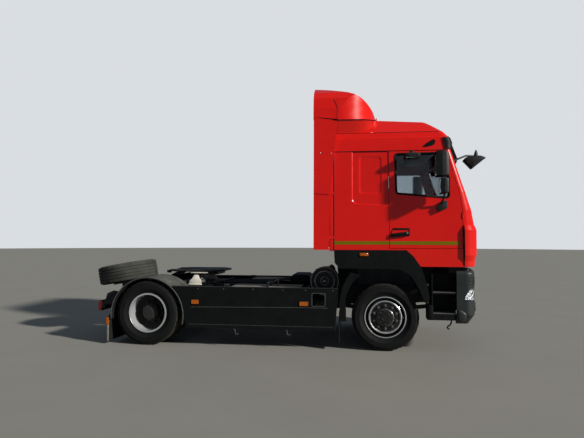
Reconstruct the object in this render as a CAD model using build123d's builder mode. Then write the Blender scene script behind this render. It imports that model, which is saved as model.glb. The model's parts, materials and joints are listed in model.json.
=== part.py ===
from build123d import *
import os
from math import cos, radians, sin

os.makedirs("parts", exist_ok=True)

# Semi truck tractor unit, 4x2, in millimetres.
# Origin: bottom centre of the whole truck. +X is forward, +Y is left, +Z is up.
# All x sizes below are measured forward from the front axle.

# Overall layout
front_axle_x = 1703
wheelbase = 3600
rear_axle_x = -wheelbase
body_half_width = 1245
seam_gap = 6
seat_gap = 0.3

# Tyres and rims
tyre_radius = 490
tyre_half_width = 156
tyre_sides = 50
widest_radius = 400
tread_half_width = 116
shoulder_half_width = 138
shoulder_radius = 474
bead_radius = 287
bead_half_width = 117.4
flange_radius = 299
rim_half_width = 130
rim_wall = 10
front_tyre_y = 1035
rear_outer_tyre_y = 1095
rear_inner_tyre_y = 750
drum_radius = 205

# Frame rails, channels open towards the middle
rail_top = 880
rail_height = 250
rail_flange = 80
rail_web = 10
rail_outer_y = 425
rail_front_x = 1100
rail_rear_x = -4400
rail_bottom = rail_top - rail_height
rail_mid_y = rail_outer_y - rail_flange / 2

# Axles, springs and steering
axle_z = tyre_radius
kingpin_y = 840
kingpin_radius = 24
pin_clearance = 0.3
beam_half_length = 50
beam_end_y = kingpin_y - 40
beam_eye_radius = 55
beam_eye_bottom = 430
beam_eye_top = 550
spring_pad_top = 485
spring_width = 80
spring_thickness = 45
front_spring_half_span = 850
rear_spring_y = 487
rear_spring_half_span = 650
rear_tube_radius = 75
spindle_radius = 40
tie_rod_x = -280
tie_rod_y = kingpin_y
tie_pin_radius = 11

# Cab: shell, seams and floor
cab_back_x = -740
cab_wall = 60
cab_bottom = 1235
cab_floor_z = 1400
cab_floor_thickness = 50
roof_seam_z = 2915
roof_wall = 45
side_bottom_z = 1470
door_rear_x = 64
door_bottom_z = 1497
door_front_x = 1085
door_break_z = 2050
corner_y = body_half_width - 135
tilt_pivot_x = 1220
tilt_pivot_z = 920
tilt_pin_radius = 25
tilt_arm_y = 390
tilt_arm_thickness = 50
door_hinge_radius = 9
door_pin_radius = 5
door_hinge_length = 45
door_hinge_z = (1610, 1970)

# Front flap and grille
flap_top_z = 2030
flap_bottom_z = 1240
flap_thickness = 30
flap_space = 8
grille_top_z = 1850
grille_bottom_z = 1335
grille_top_half = 860
grille_bottom_half = grille_top_half - 60
flap_half_width = grille_top_half + 95
flap_hinge_x = 1352
flap_hinge_z = 2036
flap_hinge_y = 200
flap_hinge_length = 60

fork_plate = 22
mount_outer_y = tilt_arm_y + tilt_arm_thickness / 2 + seam_gap + fork_plate

# Bumper
bumper_top = 1178
bumper_bottom = 425
bumper_wall = 45
bumper_chin = 130
bumper_chin_depth = 90
bumper_rear_x = 996
bumper_corner_y = body_half_width - 120
bumper_corner_x = 1262
bumper_centre_x = 1400

# Side skirts
skirt_thickness = 30
skirt_top = 905
skirt_bottom = 290
skirt_front_x = -680

# Rear mudguards
guard_radius = 580
guard_thickness = 20
guard_centre_z = 455
guard_inner_y = 575
guard_outer_y = body_half_width + 13
guard_bar = 30
guard_bar_angle = 40
flap_thickness_rubber = 10

# Fifth wheel
fifth_x = -3070
fifth_top = 1105
fifth_plate = 30
fifth_pivot_z = 1000
fifth_half_width = 455
fifth_rear_x = -3600
fifth_front_x = -2660
jaw_radius = 25.4
pedestal_y = 355
pedestal_thickness = 50
fifth_pin_radius = 25
base_plate = 20

# Spare wheel, lying on the rear of the frame with its rear edge low
spare_x = -4362
spare_y = -270
spare_z = 1048
spare_tilt = 10


def side_plane(y):
    """Upright plane at y: its x runs forward from the front axle, its y runs up, and it faces -Y."""
    return Plane(origin=(front_axle_x, y, 0), x_dir=(1, 0, 0), z_dir=(0, -1, 0))


def top_plane(z):
    """Level plane at z: its x runs forward from the front axle."""
    return Plane(origin=(front_axle_x, 0, z))


def front_plane(x):
    """Upright plane at x ahead of the front axle: its x is the truck's y, and it faces forward."""
    return Plane(origin=(front_axle_x + x, 0, 0), x_dir=(0, 1, 0), z_dir=(1, 0, 0))


def block(x_range, y_range, z_range, mode=Mode.ADD):
    """A box given by its ranges, x from the front axle."""
    centre = (
        front_axle_x + sum(x_range) / 2,
        sum(y_range) / 2,
        sum(z_range) / 2,
    )
    with Locations(centre):
        Box(
            x_range[1] - x_range[0],
            y_range[1] - y_range[0],
            z_range[1] - z_range[0],
            mode=mode,
        )


def prism(points, y_from, y_to, mode=Mode.ADD):
    """A side-view outline run across the truck from y_from to y_to."""
    with BuildPart() as run:
        with BuildSketch(side_plane(y_to)):
            with BuildLine():
                Polyline(*points, close=True)
            make_face()
        extrude(amount=y_to - y_from)
    add(run.part, mode=mode)


def cross_cylinder(x, z, radius, y_from, y_to, mode=Mode.ADD):
    """A round bar across the truck."""
    with BuildPart() as bar:
        with BuildSketch(side_plane(y_to)):
            with Locations((x, z)):
                Circle(radius)
        extrude(amount=y_to - y_from)
    add(bar.part, mode=mode)


def upright_cylinder(x, y, radius, z_from, z_to, mode=Mode.ADD):
    """A round upright bar."""
    with BuildPart() as bar:
        with BuildSketch(top_plane(z_from)):
            with Locations((x, y)):
                Circle(radius)
        extrude(amount=z_to - z_from)
    add(bar.part, mode=mode)


def strut(start, end, radius, mode=Mode.ADD):
    """A straight round bar between two points, x from the front axle."""
    first = Vector(front_axle_x + start[0], start[1], start[2])
    last = Vector(front_axle_x + end[0], end[1], end[2])
    with BuildPart() as bar:
        with BuildSketch(Plane(origin=first, z_dir=last - first)):
            Circle(radius)
        extrude(amount=(last - first).length)
    add(bar.part, mode=mode)


def write(piece, name):
    piece.part.label = name
    export_step(piece.part, "parts/" + name + ".step")


# Cab outline in plan, by height:
# z, half width, end of the flat side, front beside the corner, front at the centre
cab_sections = (
    (cab_bottom, body_half_width, 1091, 1268, 1385),
    (1830, body_half_width, 1091, 1272, 1388),
    (door_break_z, body_half_width, 1091, 1232, 1345),
    (2300, body_half_width, 1050, 1137, 1247),
    (roof_seam_z, body_half_width, 872, 905, 1015),
)

# Roof outline in plan, by height, with the same columns
roof_sections = (
    (roof_seam_z, body_half_width, 872, 905, 1015),
    (3050, body_half_width - 14, 880, 925, 1025),
    (3108, body_half_width - 22, 848, 896, 999),
    (3124, body_half_width - 44, 838, 887, 991),
    (3198, body_half_width - 68, 772, 828, 934),
    (3214, body_half_width - 92, 757, 815, 920),
    (3320, body_half_width - 190, 620, 690, 795),
    (3480, body_half_width - 345, 380, 450, 555),
)

# Corner panels in plan, by height: how far they stand out at the side and ahead
corner_stand = ((1250, 8, 7), (1318, 14, 8), (1400, 42, 26), (1760, 42, 26), (1826, 14, 8))
corner_sections = tuple(
    (z, body_half_width + aside, 1091, 1270 + ahead, 1387 + ahead) for z, aside, ahead in corner_stand
)


def plan_outline(back_x, half_width, side_end, corner_x, centre_x, corner_at, inset):
    """Closed outline seen from above, moved inwards by inset."""
    w = half_width - inset
    side = side_end - inset
    corner = corner_x - inset
    y = corner_at - inset
    back = back_x + inset
    with BuildLine() as outline:
        Line((back, -w), (side, -w))
        TangentArc((side, -w), (corner, -y), tangent=(1, 0))
        ThreePointArc((corner, -y), (centre_x - inset, 0), (corner, y))
        TangentArc((side, w), (corner, y), tangent=(1, 0))
        Line((side, w), (back, w))
        Line((back, w), (back, -w))
    return outline.line


def lofted(sections, inset, top_drop=0):
    """A solid through the sections, moved inwards by inset."""
    with BuildPart() as body:
        for z, half_width, side_end, corner_x, centre_x in sections:
            corner_at = corner_y + half_width - body_half_width
            with BuildSketch(top_plane(z - top_drop)):
                with BuildLine():
                    add(plan_outline(cab_back_x, half_width, side_end, corner_x, centre_x, corner_at, inset))
                make_face()
        loft(ruled=True)
    return body.part


cab_outer = lofted(cab_sections, 0)
cab_inner = lofted(cab_sections, cab_wall)
cab_flap_back = lofted(cab_sections, flap_thickness)
cab_recess = lofted(cab_sections, flap_thickness + flap_space)
glass_outer = lofted(cab_sections, 10)
glass_inner = lofted(cab_sections, 18)
grille_outer = lofted(cab_sections, 4)
grille_inner = lofted(cab_sections, 26)
flap_room = lofted(cab_sections, -26)
corner_outer = lofted(corner_sections, 0)
corner_inner = lofted(cab_sections, -seat_gap)
cab_space = lofted(cab_sections, cab_wall + seat_gap)
roof_outer = lofted(roof_sections, 0)
roof_inner = lofted(roof_sections, roof_wall, roof_wall)
roof_seat = lofted(roof_sections, -seat_gap)

# Side-view outlines of the cab's seams
door_outline = (
    (door_rear_x, door_bottom_z),
    (door_front_x, door_bottom_z),
    (door_front_x, door_break_z),
    (1044, 2300),
    (866, roof_seam_z - seam_gap),
    (door_rear_x - 8, roof_seam_z - seam_gap),
)
door_opening = (
    (door_rear_x - seam_gap, door_bottom_z - seam_gap),
    (door_front_x + seam_gap, door_bottom_z - seam_gap),
    (door_front_x + seam_gap, door_break_z),
    (1044 + seam_gap, 2300),
    (866 + seam_gap, roof_seam_z + 1),
    (door_rear_x - 8 - seam_gap, roof_seam_z + 1),
)
window_outline = (
    (160, 2290),
    (905, 2222),
    (905, 2500),
    (800, 2872),
    (147, 2868),
)
screen_bottom_half = body_half_width - 140
screen_top_half = body_half_width - 175
windscreen_outline = (
    (-screen_bottom_half, 2215),
    (screen_bottom_half, 2215),
    (screen_top_half, 2872),
    (-screen_top_half, 2872),
)
windscreen_corner = 70
window_corner = 40
grille_outline = (
    (-grille_bottom_half, grille_bottom_z),
    (grille_bottom_half, grille_bottom_z),
    (grille_top_half, grille_top_z),
    (-grille_top_half, grille_top_z),
)
glass_y = body_half_width - 33
glass_thickness = 6
door_hinge_x = door_front_x + seam_gap / 2
door_hinge_y = body_half_width + 2
far = 1500


def window_prism(grow):
    """The right door's rounded window outline, run through the door."""
    with BuildPart() as through:
        with BuildSketch(side_plane(-1000)) as window:
            with BuildLine():
                Polyline(*window_outline, close=True)
            make_face()
            fillet(window.vertices(), window_corner)
            if grow:
                offset(amount=grow, mode=Mode.REPLACE)
        extrude(amount=400)
    return through.part


# Recess for the front flap, open below
with BuildPart() as flap_recess:
    add(flap_room)
    add(cab_recess, mode=Mode.SUBTRACT)
    block(
        (900, far),
        (-flap_half_width - seam_gap, flap_half_width + seam_gap),
        (cab_bottom - 5, flap_hinge_z + seam_gap),
        mode=Mode.INTERSECT,
    )


# Frame rails
with BuildPart() as frame_rails:
    for side in (1, -1):
        with BuildSketch(front_plane(rail_rear_x)):
            with Locations((side * rail_mid_y, rail_bottom + rail_height / 2)):
                Rectangle(rail_flange, rail_height)
            with Locations((side * (rail_mid_y - rail_web), rail_bottom + rail_height / 2)):
                Rectangle(rail_flange, rail_height - 2 * rail_web, mode=Mode.SUBTRACT)
    extrude(amount=rail_front_x - rail_rear_x)
write(frame_rails, "frame_rails")

# Underside of the spare tyre, where its carrier meets it
spare_seat = tyre_half_width + seat_gap
slope = sin(radians(spare_tilt)) / cos(radians(spare_tilt))
seat_x = spare_x + spare_seat * sin(radians(spare_tilt))
seat_z = spare_z - spare_seat * cos(radians(spare_tilt))


def spare_seat_z(x):
    """Height of the spare tyre's underside at x."""
    return seat_z + (x - seat_x) * slope


# Crossmembers: x of the middle, bottom z, top z, length along the truck
crossmembers_table = (
    (1050, 690, 860, 90),
    (-1450, 780, 870, 90),
    (-2350, 780, 870, 90),
    (-3070, 780, 870, 120),
    (-4000, 740, 840, 90),
    (-4350, 700, 840, 90),
)
base_top = rail_top + base_plate
web_y = rail_outer_y - rail_web
lamp_beam_y = body_half_width - 95
with BuildPart() as crossmembers:
    for x, bottom, top, length in crossmembers_table:
        block((x - length / 2, x + length / 2), (-web_y, web_y), (bottom, top))
        block(
            (x - length / 2, x + length / 2 - rail_web),
            (-web_y, web_y),
            (bottom + rail_web, top - rail_web),
            mode=Mode.SUBTRACT,
        )
    # Mounting plate for the fifth wheel, on the rails
    block((-3420, -2720), (-rail_outer_y, rail_outer_y), (rail_top, base_top))
    # Beam for the rear lamps, hung under the rail ends
    block((-4390, -4330), (-lamp_beam_y, lamp_beam_y), (545, 600))
    for side in (1, -1):
        block((-4390, -4330), (side * rail_mid_y - 40, side * rail_mid_y + 40), (600, rail_bottom))
    # Carrier for the spare wheel: two sloping bars with posts on the last two crossmembers
    for y in (-120, -310):
        prism(
            (
                (-4600, spare_seat_z(-4600)), (-3900, spare_seat_z(-3900)),
                (-3900, spare_seat_z(-3900) - 22), (-4600, spare_seat_z(-4600) - 22),
            ),
            y - 25, y + 25,
        )
        for x, bottom, top, length in crossmembers_table[-2:]:
            prism(
                (
                    (x - 30, top), (x + 30, top),
                    (x + 30, spare_seat_z(x + 30) - 5), (x - 30, spare_seat_z(x - 30) - 5),
                ),
                y - 25, y + 25,
            )
    prism(
        (
            (-4120, spare_seat_z(-4120)), (-4060, spare_seat_z(-4060)),
            (-4060, spare_seat_z(-4060) - 22), (-4120, spare_seat_z(-4120) - 22),
        ),
        -330, -100,
    )
write(crossmembers, "crossmembers")

# Engine and gearbox as one plain block
with BuildPart() as engine_gearbox:
    block((-420, 780), (-320, 320), (640, 1270))
    block((-1150, -400), (-210, 210), (560, 960))
    for side in (1, -1):
        block((500, 600), (min(side * 300, side * web_y), max(side * 300, side * web_y)), (700, 780))
        block((-900, -800), (min(side * 200, side * web_y), max(side * 200, side * web_y)), (700, 780))
write(engine_gearbox, "engine_gearbox")

# Propeller shaft, from the gearbox flange to the axle's pinion flange
shaft_front = (-1150, 700)
shaft_rear = (-3260, 545)
with BuildPart() as propshaft:
    with BuildSketch(side_plane(0)):
        with BuildLine():
            Polyline(
                (shaft_front[0], shaft_front[1]),
                (shaft_rear[0], shaft_rear[1]),
                (shaft_rear[0], shaft_rear[1] + 45),
                (shaft_front[0], shaft_front[1] + 45),
                close=True,
            )
        make_face()
    revolve(axis=Axis(
        (front_axle_x + shaft_front[0], 0, shaft_front[1]),
        (shaft_rear[0] - shaft_front[0], 0, shaft_rear[1] - shaft_front[1]),
    ))
    split(bisect_by=front_plane(shaft_front[0] - seat_gap), keep=Keep.BOTTOM)
    split(bisect_by=front_plane(shaft_rear[0] + seat_gap), keep=Keep.TOP)
write(propshaft, "propshaft")

# Front axle beam with kingpin eyes
with BuildPart() as front_axle:
    with BuildSketch(front_plane(-beam_half_length)):
        with BuildLine():
            Polyline(
                (-beam_end_y, 430), (-700, 430), (-520, 340), (520, 340), (700, 430), (beam_end_y, 430),
                (beam_end_y, 550), (690, 550), (520, 460), (-520, 460), (-690, 550), (-beam_end_y, 550),
                close=True,
            )
        make_face()
    extrude(amount=2 * beam_half_length)
    for side in (1, -1):
        block((-90, 90), (side * rail_mid_y - 45, side * rail_mid_y + 45), (440, spring_pad_top))
        upright_cylinder(0, side * kingpin_y, beam_eye_radius, beam_eye_bottom, beam_eye_top)
    for side in (1, -1):
        upright_cylinder(
            0, side * kingpin_y, kingpin_radius + pin_clearance, 400, 600, mode=Mode.SUBTRACT
        )
write(front_axle, "front_axle")

# Leaf springs: front ones from hanger to hanger under the rails, rear ones beside them
rear_spring_seat = axle_z + 95
with BuildPart() as leaf_springs:
    for side in (1, -1):
        y = side * rail_mid_y
        with BuildSketch(side_plane(y + spring_width / 2)):
            with BuildLine():
                lower = ThreePointArc(
                    (-front_spring_half_span, 570), (0, spring_pad_top), (front_spring_half_span, 570)
                )
                upper = ThreePointArc(
                    (-front_spring_half_span, 570 + spring_thickness),
                    (0, spring_pad_top + 1.5 * spring_thickness),
                    (front_spring_half_span, 570 + spring_thickness),
                )
                Line(lower @ 0, upper @ 0)
                Line(lower @ 1, upper @ 1)
            make_face()
        extrude(amount=spring_width)
        for x in (-front_spring_half_span, front_spring_half_span):
            block((x - 45, x + 45), (y - spring_width / 2, y + spring_width / 2), (560, rail_bottom))
    for side in (1, -1):
        y = side * rear_spring_y
        with BuildSketch(side_plane(y + spring_width / 2)):
            with BuildLine():
                lower = ThreePointArc(
                    (rear_axle_x - rear_spring_half_span, rear_spring_seat + 75),
                    (rear_axle_x, rear_spring_seat),
                    (rear_axle_x + rear_spring_half_span, rear_spring_seat + 75),
                )
                upper = ThreePointArc(
                    (rear_axle_x - rear_spring_half_span, rear_spring_seat + 75 + spring_thickness),
                    (rear_axle_x, rear_spring_seat + 2 * spring_thickness),
                    (rear_axle_x + rear_spring_half_span, rear_spring_seat + 75 + spring_thickness),
                )
                Line(lower @ 0, upper @ 0)
                Line(lower @ 1, upper @ 1)
            make_face()
        extrude(amount=spring_width)
        for x in (rear_axle_x - rear_spring_half_span, rear_axle_x + rear_spring_half_span):
            inner = side * rail_outer_y
            outer = y + side * spring_width / 2
            block((x - 40, x + 40), (min(inner, outer), max(inner, outer)), (650, 790))
write(leaf_springs, "leaf_springs")

# Rear axle: tube, banjo housing with its pinion nose, spring pads and backing plates
with BuildPart() as rear_axle:
    cross_cylinder(rear_axle_x, axle_z, rear_tube_radius, -960, 960)
    with BuildSketch(side_plane(0)):
        with Locations((rear_axle_x, axle_z)):
            Circle(205)
    extrude(amount=110, both=True, taper=20)
    with BuildSketch(front_plane(rear_axle_x + 100)):
        with Locations((0, 520)):
            Circle(120)
    with BuildSketch(front_plane(shaft_rear[0])):
        with Locations((0, shaft_rear[1])):
            Circle(65)
    loft()
    for side in (1, -1):
        block(
            (rear_axle_x - 90, rear_axle_x + 90),
            (side * rear_spring_y - 45, side * rear_spring_y + 45),
            (axle_z, axle_z + 95),
        )
        cross_cylinder(rear_axle_x, axle_z, 180, side * 688 - 5, side * 688 + 5)
write(rear_axle, "rear_axle")

def turned(plane, polygons):
    """Wheel metal turned round an axle: each half section has its radius first, then its place along it."""
    with BuildPart() as metal:
        with BuildSketch(plane):
            for points in polygons:
                with BuildLine():
                    Polyline(*points, close=True)
                make_face()
        revolve(axis=Axis(plane.origin, plane.y_dir))
    add(metal.part)


# Tyre section, once round: distance from the middle and radius to the facets
tyre_section = (
    (-tyre_half_width, widest_radius),
    (-shoulder_half_width, shoulder_radius),
    (-tread_half_width, tyre_radius),
    (tread_half_width, tyre_radius),
    (shoulder_half_width, shoulder_radius),
    (tyre_half_width, widest_radius),
    (bead_half_width, bead_radius),
    (-bead_half_width, bead_radius),
)


def tyre(plane, middle):
    """A tyre of flat facets round the plane's y, a facet downwards, its middle at this distance along it."""
    rings = []
    for along, radius in tyre_section:
        centre = plane.origin + plane.y_dir * (middle + along)
        corner = radius / cos(radians(180 / tyre_sides))
        ring = []
        for step in range(tyre_sides + 1):
            angle = radians(360 * step / tyre_sides)
            ring.append(centre + plane.x_dir * (corner * cos(angle)) + plane.z_dir * (corner * sin(angle)))
        rings.append(ring)
    facets = []
    for ring, after in zip(rings, rings[1:] + rings[:1]):
        for step in range(tyre_sides):
            corners = (ring[step], ring[step + 1], after[step + 1], after[step])
            facets.append(Face(Wire.make_polygon(corners)))
    add(Solid(Shell(facets)))


def wheel_plane(x, side):
    """Plane with its x forward and its y outwards along the axle on this side."""
    return Plane(origin=(front_axle_x + x, 0, axle_z), x_dir=(side, 0, 0), z_dir=(0, 0, 1))


def barrel(middle):
    """Half section of a rim's barrel with its two flanges."""
    inner = bead_radius - seat_gap - rim_wall
    seat = bead_radius - seat_gap
    lip = bead_half_width + 5.2
    return (
        (inner, middle - rim_half_width),
        (flange_radius, middle - rim_half_width),
        (flange_radius, middle - lip),
        (seat, middle - lip),
        (seat, middle + lip),
        (flange_radius, middle + lip),
        (flange_radius, middle + rim_half_width),
        (inner, middle + rim_half_width),
    )


def front_disc(y):
    """Half sections of the wheel disc, hub, cap and drum of a front wheel centred at y."""
    bore = spindle_radius + 1
    return (
        ((278, y + 62), (278, y + 76), (240, y + 118), (228, y + 122), (215, y + 104),
         (110, y + 104), (110, y + 90), (210, y + 90), (225, y + 105), (262, y + 62)),
        ((bore, y - 60), (112, y - 60), (112, y + 74), (168, y + 74), (168, y + 92),
         (119, y + 92), (119, y + 140), (105, y + 152), (0, y + 152), (0, y + 130), (bore, y + 130)),
        ((100, y + 2), (drum_radius, y + 2), (drum_radius, y - 100), (192, y - 100), (192, y - 12),
         (100, y - 12)),
    )


# Front wheels: tyre and rim on each side
for name, side in (("left", 1), ("right", -1)):
    plane = wheel_plane(0, side)
    with BuildPart() as tyre_front:
        tyre(plane, front_tyre_y)
    write(tyre_front, "tyre_front_" + name)
    with BuildPart() as rim_front:
        turned(plane, (barrel(front_tyre_y),) + front_disc(front_tyre_y))
    write(rim_front, "rim_front_" + name)

# Rear wheels: twin tyres and twin rims with one hub on each side
hub_face_y = (rear_outer_tyre_y + rear_inner_tyre_y) / 2
tube_bore = rear_tube_radius + 1
rear_discs = (
    ((278, hub_face_y + 88), (278, hub_face_y + 102), (205, hub_face_y + 12),
     (100, hub_face_y + 12), (100, hub_face_y), (211, hub_face_y)),
    ((278, hub_face_y - 88), (278, hub_face_y - 102), (205, hub_face_y - 12),
     (100, hub_face_y - 12), (100, hub_face_y), (211, hub_face_y)),
    ((tube_bore, 860), (150, 860), (150, hub_face_y + 60), (125, hub_face_y + 70),
     (120, 1115), (95, 1135), (0, 1135), (0, 975), (tube_bore, 975)),
    ((drum_radius, 700), (drum_radius, hub_face_y - 12), (100, hub_face_y - 12),
     (100, hub_face_y - 30), (192, hub_face_y - 30), (192, 700)),
)
for name, side in (("left", 1), ("right", -1)):
    plane = wheel_plane(rear_axle_x, side)
    with BuildPart() as tyres_rear:
        for y in (rear_outer_tyre_y, rear_inner_tyre_y):
            tyre(plane, y)
    write(tyres_rear, "tyres_rear_" + name)
    with BuildPart() as rims_rear:
        turned(plane, (barrel(rear_outer_tyre_y), barrel(rear_inner_tyre_y)) + rear_discs)
    write(rims_rear, "rims_rear_" + name)

# Spare wheel
spare_plane = Plane(
    origin=(front_axle_x + spare_x, spare_y, spare_z),
    x_dir=(cos(radians(spare_tilt)), 0, sin(radians(spare_tilt))),
    z_dir=(0, -1, 0),
)
spare_disc = ((278, 62), (278, 76), (240, 118), (228, 122), (215, 104),
              (140, 104), (140, 90), (210, 90), (225, 105), (262, 62))
with BuildPart() as spare_tyre:
    tyre(spare_plane, 0)
write(spare_tyre, "spare_tyre")
with BuildPart() as spare_rim:
    turned(spare_plane, (barrel(0), spare_disc))
write(spare_rim, "spare_rim")

# Knuckles: a fork round each beam end, the kingpin, a spindle and a steering arm
fork_gap = 6
flange_y = kingpin_y + 92
with BuildPart() as knuckle_left:
    y = kingpin_y
    upright_cylinder(0, y, kingpin_radius, beam_eye_bottom - 20, beam_eye_top + 20)
    for z_from, z_to in (
        (beam_eye_bottom - fork_gap - 34, beam_eye_bottom - fork_gap),
        (beam_eye_top + fork_gap, beam_eye_top + fork_gap + 34),
    ):
        upright_cylinder(0, y, 50, z_from, z_to)
        block((-50, 50), (y, flange_y + 18), (z_from, z_to))
    block((-60, 60), (flange_y, flange_y + 30), (beam_eye_bottom - fork_gap - 34, beam_eye_top + fork_gap + 34))
    cross_cylinder(0, axle_z, spindle_radius, flange_y + 18, front_tyre_y + 125)
    with BuildSketch(top_plane(beam_eye_bottom - fork_gap - 34)):
        with BuildLine():
            Polyline(
                (0, y - 45), (0, y + 45), (tie_rod_x, tie_rod_y + 22), (tie_rod_x, tie_rod_y - 22), close=True
            )
        make_face()
        with Locations((tie_rod_x, tie_rod_y)):
            Circle(26)
    extrude(amount=26)
    upright_cylinder(
        tie_rod_x, tie_rod_y, tie_pin_radius + pin_clearance, 300, 500, mode=Mode.SUBTRACT
    )
write(knuckle_left, "knuckle_left")
with BuildPart() as knuckle_right:
    mirror(knuckle_left.part, about=Plane.XZ)
write(knuckle_right, "knuckle_right")

# Tie rod under the two steering arms, with a pin up into each
arm_bottom = beam_eye_bottom - fork_gap - 34
tie_rod_top = arm_bottom - 5
with BuildPart() as tie_rod:
    cross_cylinder(tie_rod_x, tie_rod_top - 19, 19, -tie_rod_y - 20, tie_rod_y + 20)
    for side in (1, -1):
        upright_cylinder(tie_rod_x, side * tie_rod_y, tie_pin_radius, tie_rod_top - 25, arm_bottom + 22)
write(tie_rod, "tie_rod")


def bumper_body(inset, z_from, z_to, chin=None, brow=0):
    """Solid with the bumper's outline seen from above, moved inwards by inset, with its chin cut back."""
    with BuildPart() as body:
        with BuildSketch(top_plane(z_from)):
            with BuildLine():
                add(plan_outline(
                    bumper_rear_x - inset, body_half_width, 1120, bumper_corner_x, bumper_centre_x,
                    bumper_corner_y, inset,
                ))
            make_face()
        extrude(amount=z_to - z_from)
        rim = body.edges().filter_by(Axis.Z, reverse=True).group_by(Axis.Z)
        if brow:
            fillet(rim[-1].filter_by(lambda e: (e @ 0.5).X > front_axle_x + bumper_rear_x + 5), brow)
        if chin:
            chamfer(
                rim[0].filter_by(lambda e: (e @ 0.5).X > front_axle_x + bumper_rear_x + 5),
                length=chin[0], length2=chin[1], reference=body.faces().sort_by(Axis.Z)[0],
            )
    return body.part


bumper_outer = bumper_body(0, bumper_bottom, bumper_top, (bumper_chin_depth, bumper_chin), 50)
bumper_inner = bumper_body(
    bumper_wall, bumper_bottom - 1, bumper_top - 30, (bumper_chin_depth - 8, bumper_chin - 11)
)
bumper_open_top = bumper_body(90, bumper_top - 60, bumper_top + 10)
bumper_lamp_back = bumper_body(30, bumper_bottom, bumper_top)

# Headlamp outline in side view, cut through the bumper's corners
lamp_outline = ((1104, 768), (1120, 830), (1163, 903), (1206, 926), (far, 926), (far, 768))
lamp_inner_y = 830
fog_lamp_z = 640
fog_lamp_y = 930
fog_lamp_radius = 55

with BuildPart() as bumper:
    add(bumper_outer)
    add(bumper_inner, mode=Mode.SUBTRACT)
    add(bumper_open_top, mode=Mode.SUBTRACT)
    for side in (1, -1):
        y_near = side * lamp_inner_y
        y_far = side * far
        prism(lamp_outline, min(y_near, y_far), max(y_near, y_far), mode=Mode.SUBTRACT)
        with BuildSketch(front_plane(1150)):
            with Locations((side * fog_lamp_y, fog_lamp_z)):
                Circle(fog_lamp_radius)
        extrude(amount=400, mode=Mode.SUBTRACT)
    # Step slots in the middle of the bumper
    for z in (955, 1040):
        block((1200, far), (-560, 560), (z - 22, z + 22), mode=Mode.SUBTRACT)
    # Arms back to the frame rails
    for side in (1, -1):
        inner = side * mount_outer_y
        outer = side * (mount_outer_y + 40)
        block((rail_front_x + 10, 1365), (min(inner, outer), max(inner, outer)), (710, 780))
write(bumper, "bumper")

with BuildPart() as front_lamps:
    for side in (1, -1):
        y_near = side * (lamp_inner_y + seat_gap)
        y_far = side * far
        with BuildSketch(side_plane(max(y_near, y_far))):
            with BuildLine():
                Polyline(*lamp_outline, close=True)
            make_face()
            offset(amount=-seat_gap, mode=Mode.REPLACE)
        extrude(amount=abs(y_far - y_near))
        with BuildSketch(front_plane(1150)):
            with Locations((side * fog_lamp_y, fog_lamp_z)):
                Circle(fog_lamp_radius - seat_gap)
        extrude(amount=400)
    add(bumper_outer, mode=Mode.INTERSECT)
    add(bumper_lamp_back, mode=Mode.SUBTRACT)
write(front_lamps, "front_lamps")

# Cab steps: a back plate, a front post, two treads and a foot on each side, hung from the frame
step_treads = ((476, 568), (846, 868))
with BuildPart() as cab_steps:
    step_outer_y = body_half_width - 10
    step_inner_y = body_half_width - 260
    block((650, bumper_rear_x + 30), (step_inner_y, step_inner_y + 20), (476, 1130))
    for z_range in step_treads:
        block((650, bumper_rear_x - seam_gap), (step_inner_y + 15, step_outer_y), z_range)
    block((650, 668), (step_inner_y + 15, step_outer_y), (500, 1130))
    block((592, 672), (step_inner_y + 40, step_outer_y), (476, 690))
    block((760, 800), (rail_outer_y, step_inner_y + 5), (690, 740))
    block((760, 800), (rail_outer_y, step_inner_y + 5), (820, 860))
    mirror(about=Plane.XZ)
write(cab_steps, "cab_steps")

# Rear halves of the front wheel guards: a curved sheet, a face beside it and a bar to the frame
guard_face_y = body_half_width - 10
guard_back_x = -662
guard_foot_z = 430
with BuildPart() as front_wheel_guards:
    for depth, inner_y in ((22, 780), (95, guard_face_y - 20)):
        with BuildSketch(side_plane(guard_face_y)):
            with BuildLine():
                outer = ThreePointArc((-500, 1140), (-620, 905), (guard_back_x, 600))
                inner = ThreePointArc(
                    (-500 + 1.6 * depth, 1140 - 0.4 * depth), (-620 + 0.9 * depth, 905 - 0.25 * depth),
                    (guard_back_x + depth, 600),
                )
                Line(outer @ 0, inner @ 0)
                Line(outer @ 1, (guard_back_x, guard_foot_z))
                Line((guard_back_x, guard_foot_z), (guard_back_x + depth, guard_foot_z))
                Line((guard_back_x + depth, guard_foot_z), inner @ 1)
            make_face()
        extrude(amount=guard_face_y - inner_y)
    block((guard_back_x - 20, guard_back_x + 20), (rail_outer_y, 800), (680, 720))
    mirror(about=Plane.XZ)
write(front_wheel_guards, "front_wheel_guards")

# Side skirts with a folded top edge, a hatch and three bars to the frame
with BuildPart() as side_skirts:
    prism(
        ((-3215, skirt_top), (skirt_front_x, skirt_top), (-722, skirt_bottom), (-2960, skirt_bottom)),
        body_half_width - skirt_thickness, body_half_width,
    )
    prism(
        ((-3215, skirt_top), (skirt_front_x - 10, skirt_top), (skirt_front_x - 10, 885), (-3205, 885)),
        body_half_width - 95, body_half_width,
    )
    block((-1066, -872), (body_half_width - 45, far), (640, 830), mode=Mode.SUBTRACT)
    cross_cylinder(rear_axle_x, guard_centre_z, guard_radius + seam_gap, 1000, far, mode=Mode.SUBTRACT)
    for x in (-2800, -1950, -1160):
        block((x - 20, x + 20), (rail_outer_y, body_half_width - 25), (840, 878))
    mirror(about=Plane.XZ)
write(side_skirts, "side_skirts")

# Fuel tank on the left, on two brackets
with BuildPart() as fuel_tank:
    with BuildSketch(side_plane(1150)):
        with Locations((-2070, 570)):
            RectangleRounded(1280, 500, 60)
    extrude(amount=620)
    for x in (-2500, -1640):
        block((x - 35, x + 35), (rail_outer_y, 560), (640, 800))
write(fuel_tank, "fuel_tank")

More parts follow.
